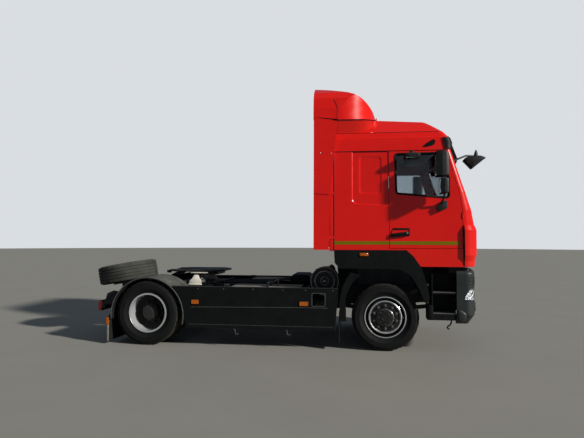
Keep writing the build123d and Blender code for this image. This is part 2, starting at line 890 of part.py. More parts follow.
# Battery box on the right, on two brackets
with BuildPart() as battery_box:
    block((-1840, -1180), (-1130, -560), (380, 760))
    for x in (-1700, -1320):
        block((x - 35, x + 35), (-600, -rail_outer_y), (660, 740))
write(battery_box, "battery_box")

# Air tanks on the right, lying along the truck on two brackets
with BuildPart() as air_tanks:
    for y, z in ((-900, 480), (-620, 480)):
        with BuildSketch(front_plane(-2780)):
            with Locations((y, z)):
                Circle(125)
        extrude(amount=800)
    for x in (-2650, -2110):
        block((x - 25, x + 25), (-1020, -480), (590, 640))
        block((x - 25, x + 25), (-520, -rail_outer_y), (600, 760))
write(air_tanks, "air_tanks")

# Air filter canister lying across behind the cab on the right, on a bracket
filter_x = -900
filter_z = 985
with BuildPart() as air_filter:
    cross_cylinder(filter_x, filter_z, 205, -880, -440)
    cross_cylinder(filter_x, filter_z, 218, -895, -850)
    cross_cylinder(filter_x, filter_z, 25, -915, -890)
    block((filter_x - 60, filter_x + 60), (-520, -rail_outer_y), (700, 850))
write(air_filter, "air_filter")

# Silencer on the left behind the front wheel, on a bracket
with BuildPart() as silencer:
    with BuildSketch(side_plane(1120)):
        with Locations((-960, 600)):
            RectangleRounded(430, 440, 80)
    extrude(amount=600)
    block((-1000, -920), (rail_outer_y, 560), (660, 760))
write(silencer, "silencer")

# Fifth wheel base: two bored pedestals on the mounting plate
with BuildPart() as fifth_wheel_base:
    for side in (1, -1):
        y_low = side * pedestal_y - pedestal_thickness / 2
        with BuildSketch(side_plane(y_low + pedestal_thickness)):
            with BuildLine():
                Polyline(
                    (fifth_x - 140, base_top), (fifth_x + 110, base_top), (fifth_x + 110, base_top + 30),
                    (fifth_x + 55, base_top + 75), (fifth_x + 55, fifth_pivot_z),
                    (fifth_x - 55, fifth_pivot_z), (fifth_x - 55, base_top + 75),
                    (fifth_x - 140, base_top + 30), close=True,
                )
            make_face()
            with Locations((fifth_x, fifth_pivot_z)):
                Circle(55)
                Circle(fifth_pin_radius + pin_clearance, mode=Mode.SUBTRACT)
        extrude(amount=pedestal_thickness)
write(fifth_wheel_base, "fifth_wheel_base")

# Fifth wheel plate: a tilting plate with a throat open to the rear, lugs and pivot pins
lug_gap = 6
lug_thickness = 24
with BuildPart() as fifth_wheel_plate:
    with BuildSketch(top_plane(fifth_top - fifth_plate)) as plate:
        with BuildLine():
            Polyline(
                (fifth_rear_x, -300), (fifth_rear_x + 180, -fifth_half_width),
                (fifth_front_x - 160, -fifth_half_width), (fifth_front_x, -250),
                (fifth_front_x, 250), (fifth_front_x - 160, fifth_half_width),
                (fifth_rear_x + 180, fifth_half_width), (fifth_rear_x, 300),
                close=True,
            )
        make_face()
        with BuildLine():
            Polyline(
                (fifth_rear_x - 10, -205), (fifth_x - 150, -jaw_radius - seat_gap),
                (fifth_x, -jaw_radius - seat_gap), (fifth_x, jaw_radius + seat_gap),
                (fifth_x - 150, jaw_radius + seat_gap), (fifth_rear_x - 10, 205),
                close=True,
            )
        make_face(mode=Mode.SUBTRACT)
        with Locations((fifth_x, 0)):
            Circle(jaw_radius + seat_gap, mode=Mode.SUBTRACT)
    extrude(amount=fifth_plate)
    # Stiffening box below the plate, round the jaw
    block((fifth_x + 35, fifth_x + 300), (-240, 240), (1020, fifth_top - fifth_plate))
    for side in (1, -1):
        inner = side * (jaw_radius + 8)
        outer = side * 240
        block(
            (fifth_x - 120, fifth_x + 60), (min(inner, outer), max(inner, outer)),
            (1020, fifth_top - fifth_plate),
        )
        for face in (-1, 1):
            y_mid = side * pedestal_y + face * (pedestal_thickness / 2 + lug_gap + lug_thickness / 2)
            block(
                (fifth_x - 60, fifth_x + 60),
                (y_mid - lug_thickness / 2, y_mid + lug_thickness / 2),
                (fifth_pivot_z - 30, fifth_top - fifth_plate),
            )
        reach = pedestal_thickness / 2 + lug_gap + lug_thickness
        cross_cylinder(
            fifth_x, fifth_pivot_z, fifth_pin_radius, side * pedestal_y - reach, side * pedestal_y + reach
        )
write(fifth_wheel_plate, "fifth_wheel_plate")


def guard_point(radius, angle):
    """A point on a circle round the middle of the rear mudguard."""
    return (
        rear_axle_x + radius * cos(radians(angle)),
        guard_centre_z + radius * sin(radians(angle)),
    )


# Rear mudguards: a curved sheet over each pair of tyres, with bars to the frame
guard_from = -12
guard_to = 186
guard_inner_radius = guard_radius - guard_thickness
with BuildPart() as rear_mudguards:
    with BuildSketch(side_plane(guard_outer_y)):
        with BuildLine():
            top = ThreePointArc(
                guard_point(guard_radius, guard_from),
                guard_point(guard_radius, 90),
                guard_point(guard_radius, guard_to),
            )
            under = ThreePointArc(
                guard_point(guard_inner_radius, guard_from),
                guard_point(guard_inner_radius, 90),
                guard_point(guard_inner_radius, guard_to),
            )
            Line(top @ 0, under @ 0)
            Line(top @ 1, under @ 1)
        make_face()
    extrude(amount=guard_outer_y - guard_inner_y)
    for angle in (guard_bar_angle, 180 - guard_bar_angle):
        x, z = guard_point(guard_radius, angle)
        block(
            (x - guard_bar / 2, x + guard_bar / 2), (rail_outer_y, 800), (z - guard_bar / 2, z + guard_bar / 2)
        )
    block((-4200, -4165), (620, 1240), (400, 460))
    mirror(about=Plane.XZ)
write(rear_mudguards, "rear_mudguards")

# Mud flaps: rubber sheets behind the front and rear guards
with BuildPart() as mud_flaps:
    block((-4200 - flap_thickness_rubber, -4200), (620, body_half_width - 5), (50, 460))
    block((guard_back_x - flap_thickness_rubber, guard_back_x), (800, body_half_width - 20), (120, 560))
    mirror(about=Plane.XZ)
write(mud_flaps, "mud_flaps")

# Amber marker lamps on the skirts and beside the rear flaps
with BuildPart() as marker_lamps:
    for x_from, x_to in ((-2893, -2783), (-1247, -1122)):
        block((x_from, x_to), (body_half_width, body_half_width + 12), (645, 705))
    block((-4255, -4210), (body_half_width - 95, body_half_width), (300, 415))
    mirror(about=Plane.XZ)
write(marker_lamps, "marker_lamps")

# Rear lamps on the ends of the lamp beam
with BuildPart() as rear_lamps:
    block((-4440, -4390), (720, lamp_beam_y), (505, 650))
    mirror(about=Plane.XZ)
write(rear_lamps, "rear_lamps")

# Cab mounts: forks with tilt pins on the rail fronts, and two rear posts
fork_inner = tilt_arm_thickness / 2 + seam_gap
with BuildPart() as cab_mounts:
    for side in (1, -1):
        y = side * tilt_arm_y
        for face in (-1, 1):
            y_mid = y + face * (fork_inner + fork_plate / 2)
            with BuildSketch(side_plane(y_mid + fork_plate / 2)):
                with Locations((tilt_pivot_x, tilt_pivot_z)):
                    Circle(48)
                with BuildLine():
                    Polyline(
                        (1000, rail_top), (tilt_pivot_x - 30, tilt_pivot_z + 36),
                        (tilt_pivot_x + 46, tilt_pivot_z - 10), (1180, 760), (rail_front_x, 700),
                        (rail_front_x, rail_top), close=True,
                    )
                make_face()
            extrude(amount=fork_plate)
        block(
            (rail_front_x, 1180),
            (y - fork_inner - fork_plate, y + fork_inner + fork_plate),
            (700, 790),
        )
        cross_cylinder(
            tilt_pivot_x, tilt_pivot_z, tilt_pin_radius,
            y - fork_inner - fork_plate, y + fork_inner + fork_plate,
        )
        # Rear post under the cab's long beam
        block((-640, -560), (side * rail_mid_y - 40, side * rail_mid_y + 40), (rail_top, 1290))
    block((-640, -560), (-400, 400), (1200, 1290))
write(cab_mounts, "cab_mounts")

# Cab floor with its engine tunnel, long beams and tilt arms
floor_top = cab_floor_z + cab_floor_thickness
with BuildPart() as cab_floor:
    add(cab_space)
    block((-far, far), (-far, far), (cab_floor_z, floor_top), mode=Mode.INTERSECT)
    block((-120, 820), (-360, 360), (floor_top - 10, 1610))
    for side in (1, -1):
        y = side * tilt_arm_y
        block((-670, 1120), (y - 35, y + 35), (1300, cab_floor_z + 10))
        with BuildSketch(side_plane(y + tilt_arm_thickness / 2)):
            with Locations((tilt_pivot_x, tilt_pivot_z)):
                Circle(46)
            with BuildLine():
                Polyline(
                    (tilt_pivot_x + 10, tilt_pivot_z + 44), (tilt_pivot_x - 40, tilt_pivot_z - 22),
                    (1100, 915), (900, 1060), (900, 1310), (1020, 1310), (1020, 1110), close=True,
                )
            make_face()
            with Locations((tilt_pivot_x, tilt_pivot_z)):
                Circle(tilt_pin_radius + pin_clearance, mode=Mode.SUBTRACT)
        extrude(amount=tilt_arm_thickness)
write(cab_floor, "cab_floor")

# Cab back wall
moulding_y = body_half_width - 45
with BuildPart() as cab_back:
    add(cab_outer)
    block((cab_back_x - 1, cab_back_x + cab_wall), (-far, far), (1360, roof_seam_z), mode=Mode.INTERSECT)
    for side in (1, -1):
        low, high = min(side * moulding_y, side * far), max(side * moulding_y, side * far)
        block((cab_back_x - 1, 0), (low, high), (1300, side_bottom_z), mode=Mode.SUBTRACT)
write(cab_back, "cab_back")

# Outer edge of the black arch moulding, which the red side panels meet
arch_top = ((cab_back_x, side_bottom_z), (300, side_bottom_z), (400, 1380), (500, cab_bottom))

# Pressed fields in the sleeper panels, in side view
field_outline = ((-480, 2142), (300, 2092), (300, roof_seam_z + 200), (-480, roof_seam_z + 200))
field_depth = 9
inner_field_outline = ((-383, 2280), (-40, 2280), (-40, 2850), (-383, 2850))
inner_field_depth = 17


def pressing(outline, corner, slope, start, depth):
    """Tool for a field pressed into the right cab side, from start to depth, with sloping edges."""
    with BuildPart() as tool:
        for inset, sunk in ((0, start), (slope, depth)):
            with BuildSketch(side_plane(-body_half_width + sunk)) as field:
                with BuildLine():
                    Polyline(*outline, close=True)
                make_face()
                fillet(field.vertices(), corner)
                if inset:
                    offset(amount=-inset, mode=Mode.REPLACE)
        loft(ruled=True)
    return tool.part


# Cab sides: the sleeper panel and the sill under the door
side_inner_y = body_half_width - 145
with BuildPart() as cab_sides:
    add(cab_outer)
    add(cab_inner, mode=Mode.SUBTRACT)
    prism(
        (
            (cab_back_x + cab_wall, side_bottom_z), (cab_back_x + cab_wall, roof_seam_z),
            door_opening[-1], door_opening[0], door_opening[1], (door_front_x + seam_gap, cab_bottom),
            arch_top[3], arch_top[2], arch_top[1],
        ),
        -far, far, mode=Mode.INTERSECT,
    )
    block((-far, far), (-side_inner_y, side_inner_y), (cab_bottom - 5, roof_seam_z + 5), mode=Mode.SUBTRACT)
    for tool in (
        pressing(field_outline, 80, 16, -1, field_depth),
        pressing(inner_field_outline, 62, 34, field_depth - 1, inner_field_depth),
    ):
        add(tool, mode=Mode.SUBTRACT)
        add(tool.mirror(Plane.XZ), mode=Mode.SUBTRACT)
write(cab_sides, "cab_sides")

# Cab front: pillars, header, the wall behind the flap, and hinge barrels with pins
with BuildPart() as cab_front:
    add(cab_outer)
    add(cab_inner, mode=Mode.SUBTRACT)
    prism(
        (
            (door_front_x + seam_gap, cab_bottom), (door_front_x + seam_gap, door_break_z),
            (1044 + seam_gap, 2300), (866 + seam_gap, roof_seam_z), (far, roof_seam_z), (far, cab_bottom),
        ),
        -far, far, mode=Mode.INTERSECT,
    )
    with BuildSketch(front_plane(700)) as opening:
        with BuildLine():
            Polyline(*windscreen_outline, close=True)
        make_face()
        fillet(opening.vertices(), windscreen_corner)
    extrude(amount=800, mode=Mode.SUBTRACT)
    add(flap_recess.part, mode=Mode.SUBTRACT)
    for side in (1, -1):
        for z in door_hinge_z:
            # Room for the door's barrel above, then this side's barrel and its pin
            upright_cylinder(
                door_hinge_x, side * door_hinge_y, door_hinge_radius + seam_gap,
                z, z + door_hinge_length + 4, mode=Mode.SUBTRACT,
            )
            upright_cylinder(
                door_hinge_x, side * door_hinge_y, door_hinge_radius, z - door_hinge_length, z - 2
            )
            upright_cylinder(
                door_hinge_x, side * door_hinge_y, door_pin_radius,
                z - door_hinge_length, z + door_hinge_length - 2,
            )
        y_from = side * flap_hinge_y
        y_to = side * (flap_hinge_y + flap_hinge_length)
        low, high = min(y_from, y_to), max(y_from, y_to)
        block((flap_hinge_x - 30, flap_hinge_x), (low, high), (flap_hinge_z + 1, flap_hinge_z + 24))
        cross_cylinder(flap_hinge_x, flap_hinge_z, door_hinge_radius, low, high)
        inner = side * (flap_hinge_y - flap_hinge_length)
        cross_cylinder(flap_hinge_x, flap_hinge_z, door_pin_radius, min(inner, low), max(inner, high))
write(cab_front, "cab_front")

# Front flap: the skin with the grille's opening, hung on two barrels
with BuildPart() as front_flap:
    add(cab_outer)
    add(cab_flap_back, mode=Mode.SUBTRACT)
    block(
        (900, far), (-flap_half_width, flap_half_width), (flap_bottom_z, flap_top_z), mode=Mode.INTERSECT
    )
    with BuildSketch(front_plane(900)):
        with BuildLine():
            Polyline(*grille_outline, close=True)
        make_face()
    extrude(amount=800, mode=Mode.SUBTRACT)
    for side in (1, -1):
        inner = side * (flap_hinge_y - flap_hinge_length)
        outer = side * (flap_hinge_y - 2)
        low, high = min(inner, outer), max(inner, outer)
        block((flap_hinge_x - 28, flap_hinge_x - 2), (low, high), (flap_top_z - 20, flap_hinge_z))
        cross_cylinder(flap_hinge_x, flap_hinge_z, door_hinge_radius, low, high)
        cross_cylinder(
            flap_hinge_x, flap_hinge_z, door_pin_radius + pin_clearance, low - 5, high + 5, mode=Mode.SUBTRACT
        )
write(front_flap, "front_flap")

# Grille: a panel in the flap's opening with long slots between its bars
grille_slots = 5
slot_pitch = (grille_top_z - grille_bottom_z - 60) / grille_slots
with BuildPart() as grille:
    add(grille_outer)
    add(grille_inner, mode=Mode.SUBTRACT)
    with BuildSketch(front_plane(900)):
        with BuildLine():
            Polyline(*grille_outline, close=True)
        make_face()
        offset(amount=-seat_gap, mode=Mode.REPLACE)
    extrude(amount=800, mode=Mode.INTERSECT)
    for row in range(grille_slots):
        z = grille_bottom_z + 30 + slot_pitch * (row + 0.5)
        for y_from, y_to in ((-690, -240), (-220, 220), (240, 690)):
            block((900, far), (y_from, y_to), (z - 22, z + 22), mode=Mode.SUBTRACT)
write(grille, "grille")

# Roof: a hollow cap with sloping shoulders
roof_line = ((cab_back_x, 3450), (-50, 3425), (250, 3400), (620, 3372), (1100, 3330))
with BuildPart() as roof_hollow:
    add(roof_inner)
    prism(
        ((cab_back_x, 2800),) + tuple((x, z - roof_wall) for x, z in roof_line) + ((1100, 2800),),
        -far, far, mode=Mode.INTERSECT,
    )
with BuildPart() as cab_roof:
    add(roof_outer)
    prism(
        ((cab_back_x - 1, roof_seam_z),) + roof_line + ((1100, roof_seam_z),), -far, far, mode=Mode.INTERSECT
    )
    add(roof_hollow.part, mode=Mode.SUBTRACT)
write(cab_roof, "cab_roof")

# Windscreen, set in the opening
with BuildPart() as windscreen:
    add(glass_outer)
    add(glass_inner, mode=Mode.SUBTRACT)
    with BuildSketch(front_plane(700)) as screen:
        with BuildLine():
            Polyline(*windscreen_outline, close=True)
        make_face()
        fillet(screen.vertices(), windscreen_corner)
        offset(amount=-seat_gap, mode=Mode.REPLACE)
    extrude(amount=800, mode=Mode.INTERSECT)
write(windscreen, "windscreen")

# Corner panels that stand proud of the cab's front corners
with BuildPart() as corner_panels:
    add(corner_outer)
    add(corner_inner, mode=Mode.SUBTRACT)
    block((1110, far), (-far, far), (1250, 1826), mode=Mode.INTERSECT)
    block((1000, far), (-body_half_width + 260, body_half_width - 260), (1200, 1900), mode=Mode.SUBTRACT)
write(corner_panels, "corner_panels")

# Black arch mouldings below the cab sides, with the liner over each front wheel
arch_under = (
    (620, 778), (580, 700), (525, 790), (450, 960), (360, 1100), (240, 1185), (63, 1200), (-660, 1200),
    (-730, 1280),
)
liner_over = ((-660, 1215), (63, 1215), (246, 1199), (372, 1111), (464, 968), (539, 797), (594, 708))
with BuildPart() as arch_mouldings:
    prism(arch_top + ((545, 1104), (600, 917)) + arch_under, moulding_y + 5, body_half_width + 17)
    prism(arch_under[1:8] + liner_over, 800, moulding_y + 6)
    mirror(about=Plane.XZ)
write(arch_mouldings, "arch_mouldings")

# Sun visor: a curved sheet ahead of the windscreen's top, on three brackets
visor_sections = ((2815, 1058, 1165), (3150, 935, 1042))
visor_half_width = body_half_width - 185
visor_thickness = 12
visor_bracket_y = visor_half_width - 260
visor_cheek = ((845, 3117), (932, 3150), (1055, 2822), (993, 2801), (894, 2996))
with BuildPart() as sun_visor:
    for z, corner_x, centre_x in visor_sections:
        with BuildSketch(top_plane(z)):
            with BuildLine():
                front = ThreePointArc((corner_x, -visor_half_width), (centre_x, 0), (corner_x, visor_half_width))
                back = ThreePointArc(
                    (corner_x - visor_thickness, -visor_half_width),
                    (centre_x - visor_thickness, 0),
                    (corner_x - visor_thickness, visor_half_width),
                )
                Line(front @ 0, back @ 0)
                Line(front @ 1, back @ 1)
            make_face()
    loft(ruled=True)
    for side in (1, -1):
        outer = side * visor_half_width
        inner = side * (visor_half_width - visor_thickness)
        prism(visor_cheek, min(outer, inner), max(outer, inner))
    for y, x in ((-visor_bracket_y, 990), (0, 1051), (visor_bracket_y, 990)):
        strut((x - 150, y, 3110), (x, y, 3110), 12)
    add(roof_seat, mode=Mode.SUBTRACT)
write(sun_visor, "sun_visor")

# Roof spoiler: a hollow fairing open to the rear, on feet on the roof
spoiler_wall = 22
spoiler_bottom = 3405
spoiler_rear_x = -1046
spoiler_half_width = body_half_width - 35
spoiler_nose_x = -70
spoiler_front_half = spoiler_half_width - 410


def spoiler_body(inset, overrun):
    """Solid of the spoiler's form, moved inwards by inset and run past its open rear and foot by overrun."""
    rear = spoiler_rear_x - overrun
    nose = spoiler_nose_x - inset
    foot = nose + 30
    w = spoiler_half_width - inset
    front = spoiler_front_half
    with BuildPart() as body:
        with BuildSketch(side_plane(far)):
            with BuildLine():
                Line((rear, spoiler_bottom - overrun), (foot, spoiler_bottom - overrun))
                Line((foot, spoiler_bottom - overrun), (foot, spoiler_bottom))
                ThreePointArc((foot, spoiler_bottom), (-180 - inset, 3622 - inset), (-353, 3767 - inset))
                ThreePointArc((-353, 3767 - inset), (-680, 3884 - inset), (spoiler_rear_x, 3948 - inset))
                Line((spoiler_rear_x, 3948 - inset), (rear, 3948 - inset))
                Line((rear, 3948 - inset), (rear, spoiler_bottom - overrun))
            make_face()
        extrude(amount=2 * far)
        with BuildSketch(top_plane(spoiler_bottom - 100)):
            with BuildLine():
                Line((rear - 50, -w - 100), (-700, -w - 100))
                Line((-700, -w - 100), (-700, -w))
                TangentArc((-700, -w), (nose - 85, -front), tangent=(1, 0))
                ThreePointArc((nose - 85, -front), (nose, 0), (nose - 85, front))
                TangentArc((-700, w), (nose - 85, front), tangent=(1, 0))
                Line((-700, w), (-700, w + 100))
                Line((-700, w + 100), (rear - 50, w + 100))
                Line((rear - 50, w + 100), (rear - 50, -w - 100))
            make_face()
        extrude(amount=700, mode=Mode.INTERSECT)
        with BuildSketch(front_plane(rear - 50)):
            with BuildLine():
                Polyline(
                    (-w, spoiler_bottom - 100), (w, spoiler_bottom - 100), (w, 3580), (w - 28, 3740 - inset),
                    (w - 100, 3840 - inset), (w - 330, 3975 - inset), (330 - w, 3975 - inset),
                    (100 - w, 3840 - inset), (28 - w, 3740 - inset), (-w, 3580), close=True,
                )
            make_face()
        extrude(amount=1200, mode=Mode.INTERSECT)
    return body.part


spoiler_outer = spoiler_body(0, 20)
spoiler_inner = spoiler_body(spoiler_wall, 40)


# Room for the roof under the spoiler
with BuildPart() as roof_room:
    add(roof_seat)
    prism(
        ((cab_back_x - 1, 2900),) + tuple((x, z + seat_gap) for x, z in roof_line) + ((1100, 2900),),
        -far, far, mode=Mode.INTERSECT,
    )

with BuildPart() as roof_spoiler:
    add(spoiler_outer)
    block((spoiler_rear_x, 0), (-far, far), (spoiler_bottom, 4000), mode=Mode.INTERSECT)
    add(spoiler_inner, mode=Mode.SUBTRACT)
    # Feet along the roof's shoulders
    for side in (1, -1):
        low, high = sorted((side * 760, side * 860))
        block((-700, -560), (low, high), (3380, 3470))
        low, high = sorted((side * 860, side * (spoiler_half_width - 10)))
        block((-650, -610), (low, high), (3440, 3465))
    add(roof_room.part, mode=Mode.SUBTRACT)
write(roof_spoiler, "roof_spoiler")

# Side air deflectors behind the cab, on brackets on its back wall
with BuildPart() as side_deflectors:
    prism(
        ((-1040, 1470), (-816, 1470), (-790, 2290), (-690, 3366), (-1036, 3436)),
        body_half_width + 2, body_half_width + 24,
    )
    prism(
        ((-1036, 2300), (-808, 2284), (-788, 2310), (-690, 3366), (-1036, 3436)),
        body_half_width + 20, body_half_width + 33,
    )
    for z in (1650, 2300, 2850):
        block((-900, cab_back_x), (body_half_width - 65, body_half_width + 4), (z - 20, z + 20))
    mirror(about=Plane.XZ)
write(side_deflectors, "side_deflectors")

# Front mirror on an arm from the right pillar
front_mirror_y = 345 - body_half_width
with BuildPart() as front_mirror:
    prism(
        ((1158, 2806), (1243, 2868), (1344, 2882), (1430, 2876), (1508, 2838), (1456, 2806), (1284, 2664)),
        front_mirror_y - 100, front_mirror_y + 100,
    )
    upright_cylinder(1375, front_mirror_y, 14, 2835, 2960)
    strut((900, front_mirror_y - 200, 2730), (1240, front_mirror_y - 30, 2800), 13)
    add(corner_inner, mode=Mode.SUBTRACT)
write(front_mirror, "front_mirror")

# Seats for the driver and one passenger (base, cushion, back, headrest), and the bunk
with BuildPart() as seats_and_bunk:
    block((120, 560), (430, 830), (floor_top, 1740))
    block((80, 610), (380, 880), (1730, 1860))
    prism(((60, 1850), (190, 1850), (90, 2470), (-20, 2470)), 380, 880)
    prism(((-8, 2460), (82, 2460), (72, 2640), (-18, 2640)), 500, 760)
    mirror(about=Plane.XZ)
    # Bunk behind the seats
    block((cab_back_x + cab_wall, -130), (-1100, 1100), (floor_top, 1750))
    block((cab_back_x + cab_wall, -110), (-1120, 1120), (1740, 1900))
write(seats_and_bunk, "seats_and_bunk")

# Dashboard across the cab with the driver's steering wheel on the left
wheel_centre = (645, 630, 2065)
wheel_ring = 225
with BuildPart() as dashboard:
    add(cab_space)
    prism(
        ((800, 1740), (770, 1960), (900, 2120), (far, 2150), (far, 1700), (1000, 1640)),
        -body_half_width + 105, body_half_width - 105, mode=Mode.INTERSECT,
    )
    column = Plane(
        origin=(front_axle_x + wheel_centre[0], wheel_centre[1], wheel_centre[2]),
        x_dir=(0, 1, 0), z_dir=(0.62, 0, -0.78),
    )
    with BuildSketch(column):
        Circle(38)
    extrude(amount=330)
    with BuildSketch(column):
        Circle(70)
        Rectangle(2 * wheel_ring - 10, 36)
        Rectangle(36, 2 * wheel_ring - 10)
    extrude(amount=22)
    with BuildSketch(Plane(origin=column.origin, x_dir=column.x_dir, z_dir=column.y_dir)):
        with Locations((wheel_ring, -11)):
            Circle(16)
    revolve(axis=Axis(column.origin, column.z_dir))
    block((-far, far), (-far, far), (1640, 2400), mode=Mode.INTERSECT)
write(dashboard, "dashboard")

# Doors: the hollow side wall with its window cut and two hinge barrels
with BuildPart() as door_right:
    add(cab_outer)
    add(cab_inner, mode=Mode.SUBTRACT)
    prism(door_outline, -far, -side_inner_y, mode=Mode.INTERSECT)
    add(window_prism(0), mode=Mode.SUBTRACT)
    for z in door_hinge_z:
        upright_cylinder(
            door_hinge_x, -door_hinge_y, door_hinge_radius + seam_gap,
            z - door_hinge_length - 4, z, mode=Mode.SUBTRACT,
        )
        upright_cylinder(door_hinge_x, -door_hinge_y, door_hinge_radius, z, z + door_hinge_length)
        upright_cylinder(
            door_hinge_x, -door_hinge_y, door_pin_radius + pin_clearance,
            z - 5, z + door_hinge_length + 5, mode=Mode.SUBTRACT,
        )
write(door_right, "door_right")
with BuildPart() as door_left:
    mirror(door_right.part, about=Plane.XZ)
write(door_left, "door_left")

# Door glass
with BuildPart() as door_glass_right:
    add(window_prism(-seat_gap))
    block((-far, far), (-glass_y - glass_thickness / 2, -glass_y + glass_thickness / 2), (2000, 3000), mode=Mode.INTERSECT)
write(door_glass_right, "door_glass_right")
with BuildPart() as door_glass_left:
    mirror(door_glass_right.part, about=Plane.XZ)
write(door_glass_left, "door_glass_left")

# Door mirrors: a tall and a wide housing on an arm from the door
mirror_y = body_half_width + 210
mirror_post_y = mirror_y - 55
with BuildPart() as mirrors_left:
    with BuildSketch(front_plane(680)):
        with Locations((mirror_y, 2688)):
            RectangleRounded(210, 372, 30)
        with Locations((mirror_y, 2372)):
            RectangleRounded(210, 215, 30)
    extrude(amount=180)
    block((720, 860), (body_half_width, body_half_width + 55), (2015, 2180))
    strut((800, body_half_width + 45, 2150), (800, mirror_post_y, 2300), 16)
    strut((830, mirror_post_y, 2300), (830, mirror_post_y, 2890), 14)
    strut((830, body_half_width, 2890), (830, mirror_post_y + 14, 2890), 14)
write(mirrors_left, "mirrors_left")
with BuildPart() as mirrors_right:
    mirror(mirrors_left.part, about=Plane.XZ)
    # Kerb mirror over the window
    block((280, 495), (-body_half_width - 185, -body_half_width - 17), (2800, 2858))
    block((370, 405), (-body_half_width - 85, -body_half_width), (2850, 2890))
write(mirrors_right, "mirrors_right")
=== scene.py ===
import json
from math import cos, exp, hypot, pi, radians, sin, tan

import bmesh
import bpy
from mathutils import Matrix, Vector


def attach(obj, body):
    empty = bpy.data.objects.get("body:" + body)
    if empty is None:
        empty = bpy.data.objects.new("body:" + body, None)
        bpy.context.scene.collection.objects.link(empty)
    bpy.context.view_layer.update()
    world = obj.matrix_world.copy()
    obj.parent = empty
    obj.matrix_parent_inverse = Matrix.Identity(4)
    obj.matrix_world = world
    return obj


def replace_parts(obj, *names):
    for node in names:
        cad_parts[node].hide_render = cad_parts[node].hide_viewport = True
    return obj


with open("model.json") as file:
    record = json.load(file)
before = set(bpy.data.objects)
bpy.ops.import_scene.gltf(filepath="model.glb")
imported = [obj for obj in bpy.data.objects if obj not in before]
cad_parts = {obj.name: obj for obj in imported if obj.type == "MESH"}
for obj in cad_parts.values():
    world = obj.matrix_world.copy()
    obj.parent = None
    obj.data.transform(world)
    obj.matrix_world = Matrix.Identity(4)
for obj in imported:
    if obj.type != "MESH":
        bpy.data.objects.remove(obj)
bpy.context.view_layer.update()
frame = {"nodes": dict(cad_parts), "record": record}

# Places shared with the frame, in metres: x is measured from the front axle
front_x = 1.703
half = 1.245
axle_z = 0.49
rear_axle_x = -3.6
front_tyre_y = 1.035
rear_outer_y = 1.095
rear_inner_y = 0.75
sides = (("right", -1), ("left", 1))


def at(x, y, z):
    """A point from its x ahead of the front axle."""
    return Vector((front_x + x, y, z))


def place(point):
    """A tuple is measured from the front axle, and a vector is already in the frame."""
    return point if isinstance(point, Vector) else at(*point)


# Camera, as solved from the photograph: pixels, metres and degrees
photo_width = 584
focal_length = 506.2
camera_place = (-0.389, -8.697, 1.621)
camera_turn = (7.44, 2.31, 0.13)


def aim_camera():
    yaw, pitch, roll = map(radians, camera_turn)
    forward = Vector((-sin(yaw) * cos(pitch), cos(yaw) * cos(pitch), sin(pitch)))
    right = Vector((cos(yaw), sin(yaw), 0))
    up = right.cross(forward)
    turned_right = right * cos(roll) + up * sin(roll)
    turned_up = up * cos(roll) - right * sin(roll)
    data = bpy.data.cameras.new("camera")
    data.sensor_width = 36
    data.lens = data.sensor_width * focal_length / photo_width
    data.clip_end = 300
    camera = bpy.data.objects.new("camera", data)
    bpy.context.scene.collection.objects.link(camera)
    turn = Matrix((turned_right, turned_up, -forward)).transposed().to_4x4()
    camera.matrix_world = Matrix.Translation(at(*camera_place)) @ turn
    bpy.context.scene.camera = camera


aim_camera()


# Materials
class Nodes:
    """Adds nodes to a tree and fills their inputs."""

    def __init__(self, tree):
        self.tree = tree

    def fill(self, target, value):
        """Links another node's output to an input, or sets the input's value."""
        if isinstance(value, bpy.types.NodeSocket):
            self.tree.links.new(value, target)
        elif target.type == "RGBA":
            target.default_value = value + (1.0,)
        else:
            target.default_value = value

    def node(self, kind, inputs, **values):
        made = self.tree.nodes.new(kind)
        for key, value in values.items():
            setattr(made, key, value)
        for key, value in inputs.items():
            self.fill(made.inputs[key], value)
        return made


class Finish(Nodes):
    """A material whose colour, roughness and relief come from nodes."""

    def __init__(self):
        self.material = bpy.data.materials.new("finish")
        self.material.use_nodes = True
        super().__init__(self.material.node_tree)
        self.shader = self.tree.nodes["Principled BSDF"]
        self.place = self.node("ShaderNodeTexCoord", {}).outputs["Object"]

    def surface(self, **inputs):
        """Fills the shader's inputs; an underscore stands for a space."""
        for name, value in inputs.items():
            self.fill(self.shader.inputs[name.replace("_", " ")], value)

    def noise(self, scale, detail=3.0, rough=0.55, stretch=(1, 1, 1)):
        mapping = self.node("ShaderNodeMapping", {"Vector": self.place, "Scale": stretch})
        inputs = {"Vector": mapping.outputs[0], "Scale": scale, "Detail": detail, "Roughness": rough}
        return self.node("ShaderNodeTexNoise", inputs).outputs["Fac"]

    def waves(self, direction, scale, **inputs):
        inputs.update(Vector=self.place, Scale=scale)
        return self.node("ShaderNodeTexWave", inputs, bands_direction=direction).outputs["Fac"]

    def ramp(self, source, low, high, to_low=0.0, to_high=1.0):
        inputs = {"Value": source, "From Min": low, "From Max": high, "To Min": to_low, "To Max": to_high}
        return self.node("ShaderNodeMapRange", inputs, clamp=True).outputs["Result"]

    def combine(self, operation, first, second):
        return self.node("ShaderNodeMath", {0: first, 1: second}, operation=operation).outputs[0]

    def mix(self, share, first, second):
        inputs = {"Factor": share, 6: first, 7: second}
        return self.node("ShaderNodeMix", inputs, data_type="RGBA").outputs[2]

    def axis(self, which, source):
        return self.node("ShaderNodeSeparateXYZ", {0: source}).outputs[which]

    def bump(self, height, strength, distance):
        inputs = {"Height": height, "Strength": strength, "Distance": distance}
        return self.node("ShaderNodeBump", inputs).outputs["Normal"]


def scaled(colour, share):
    return tuple(min(1.0, c * share) for c in colour)


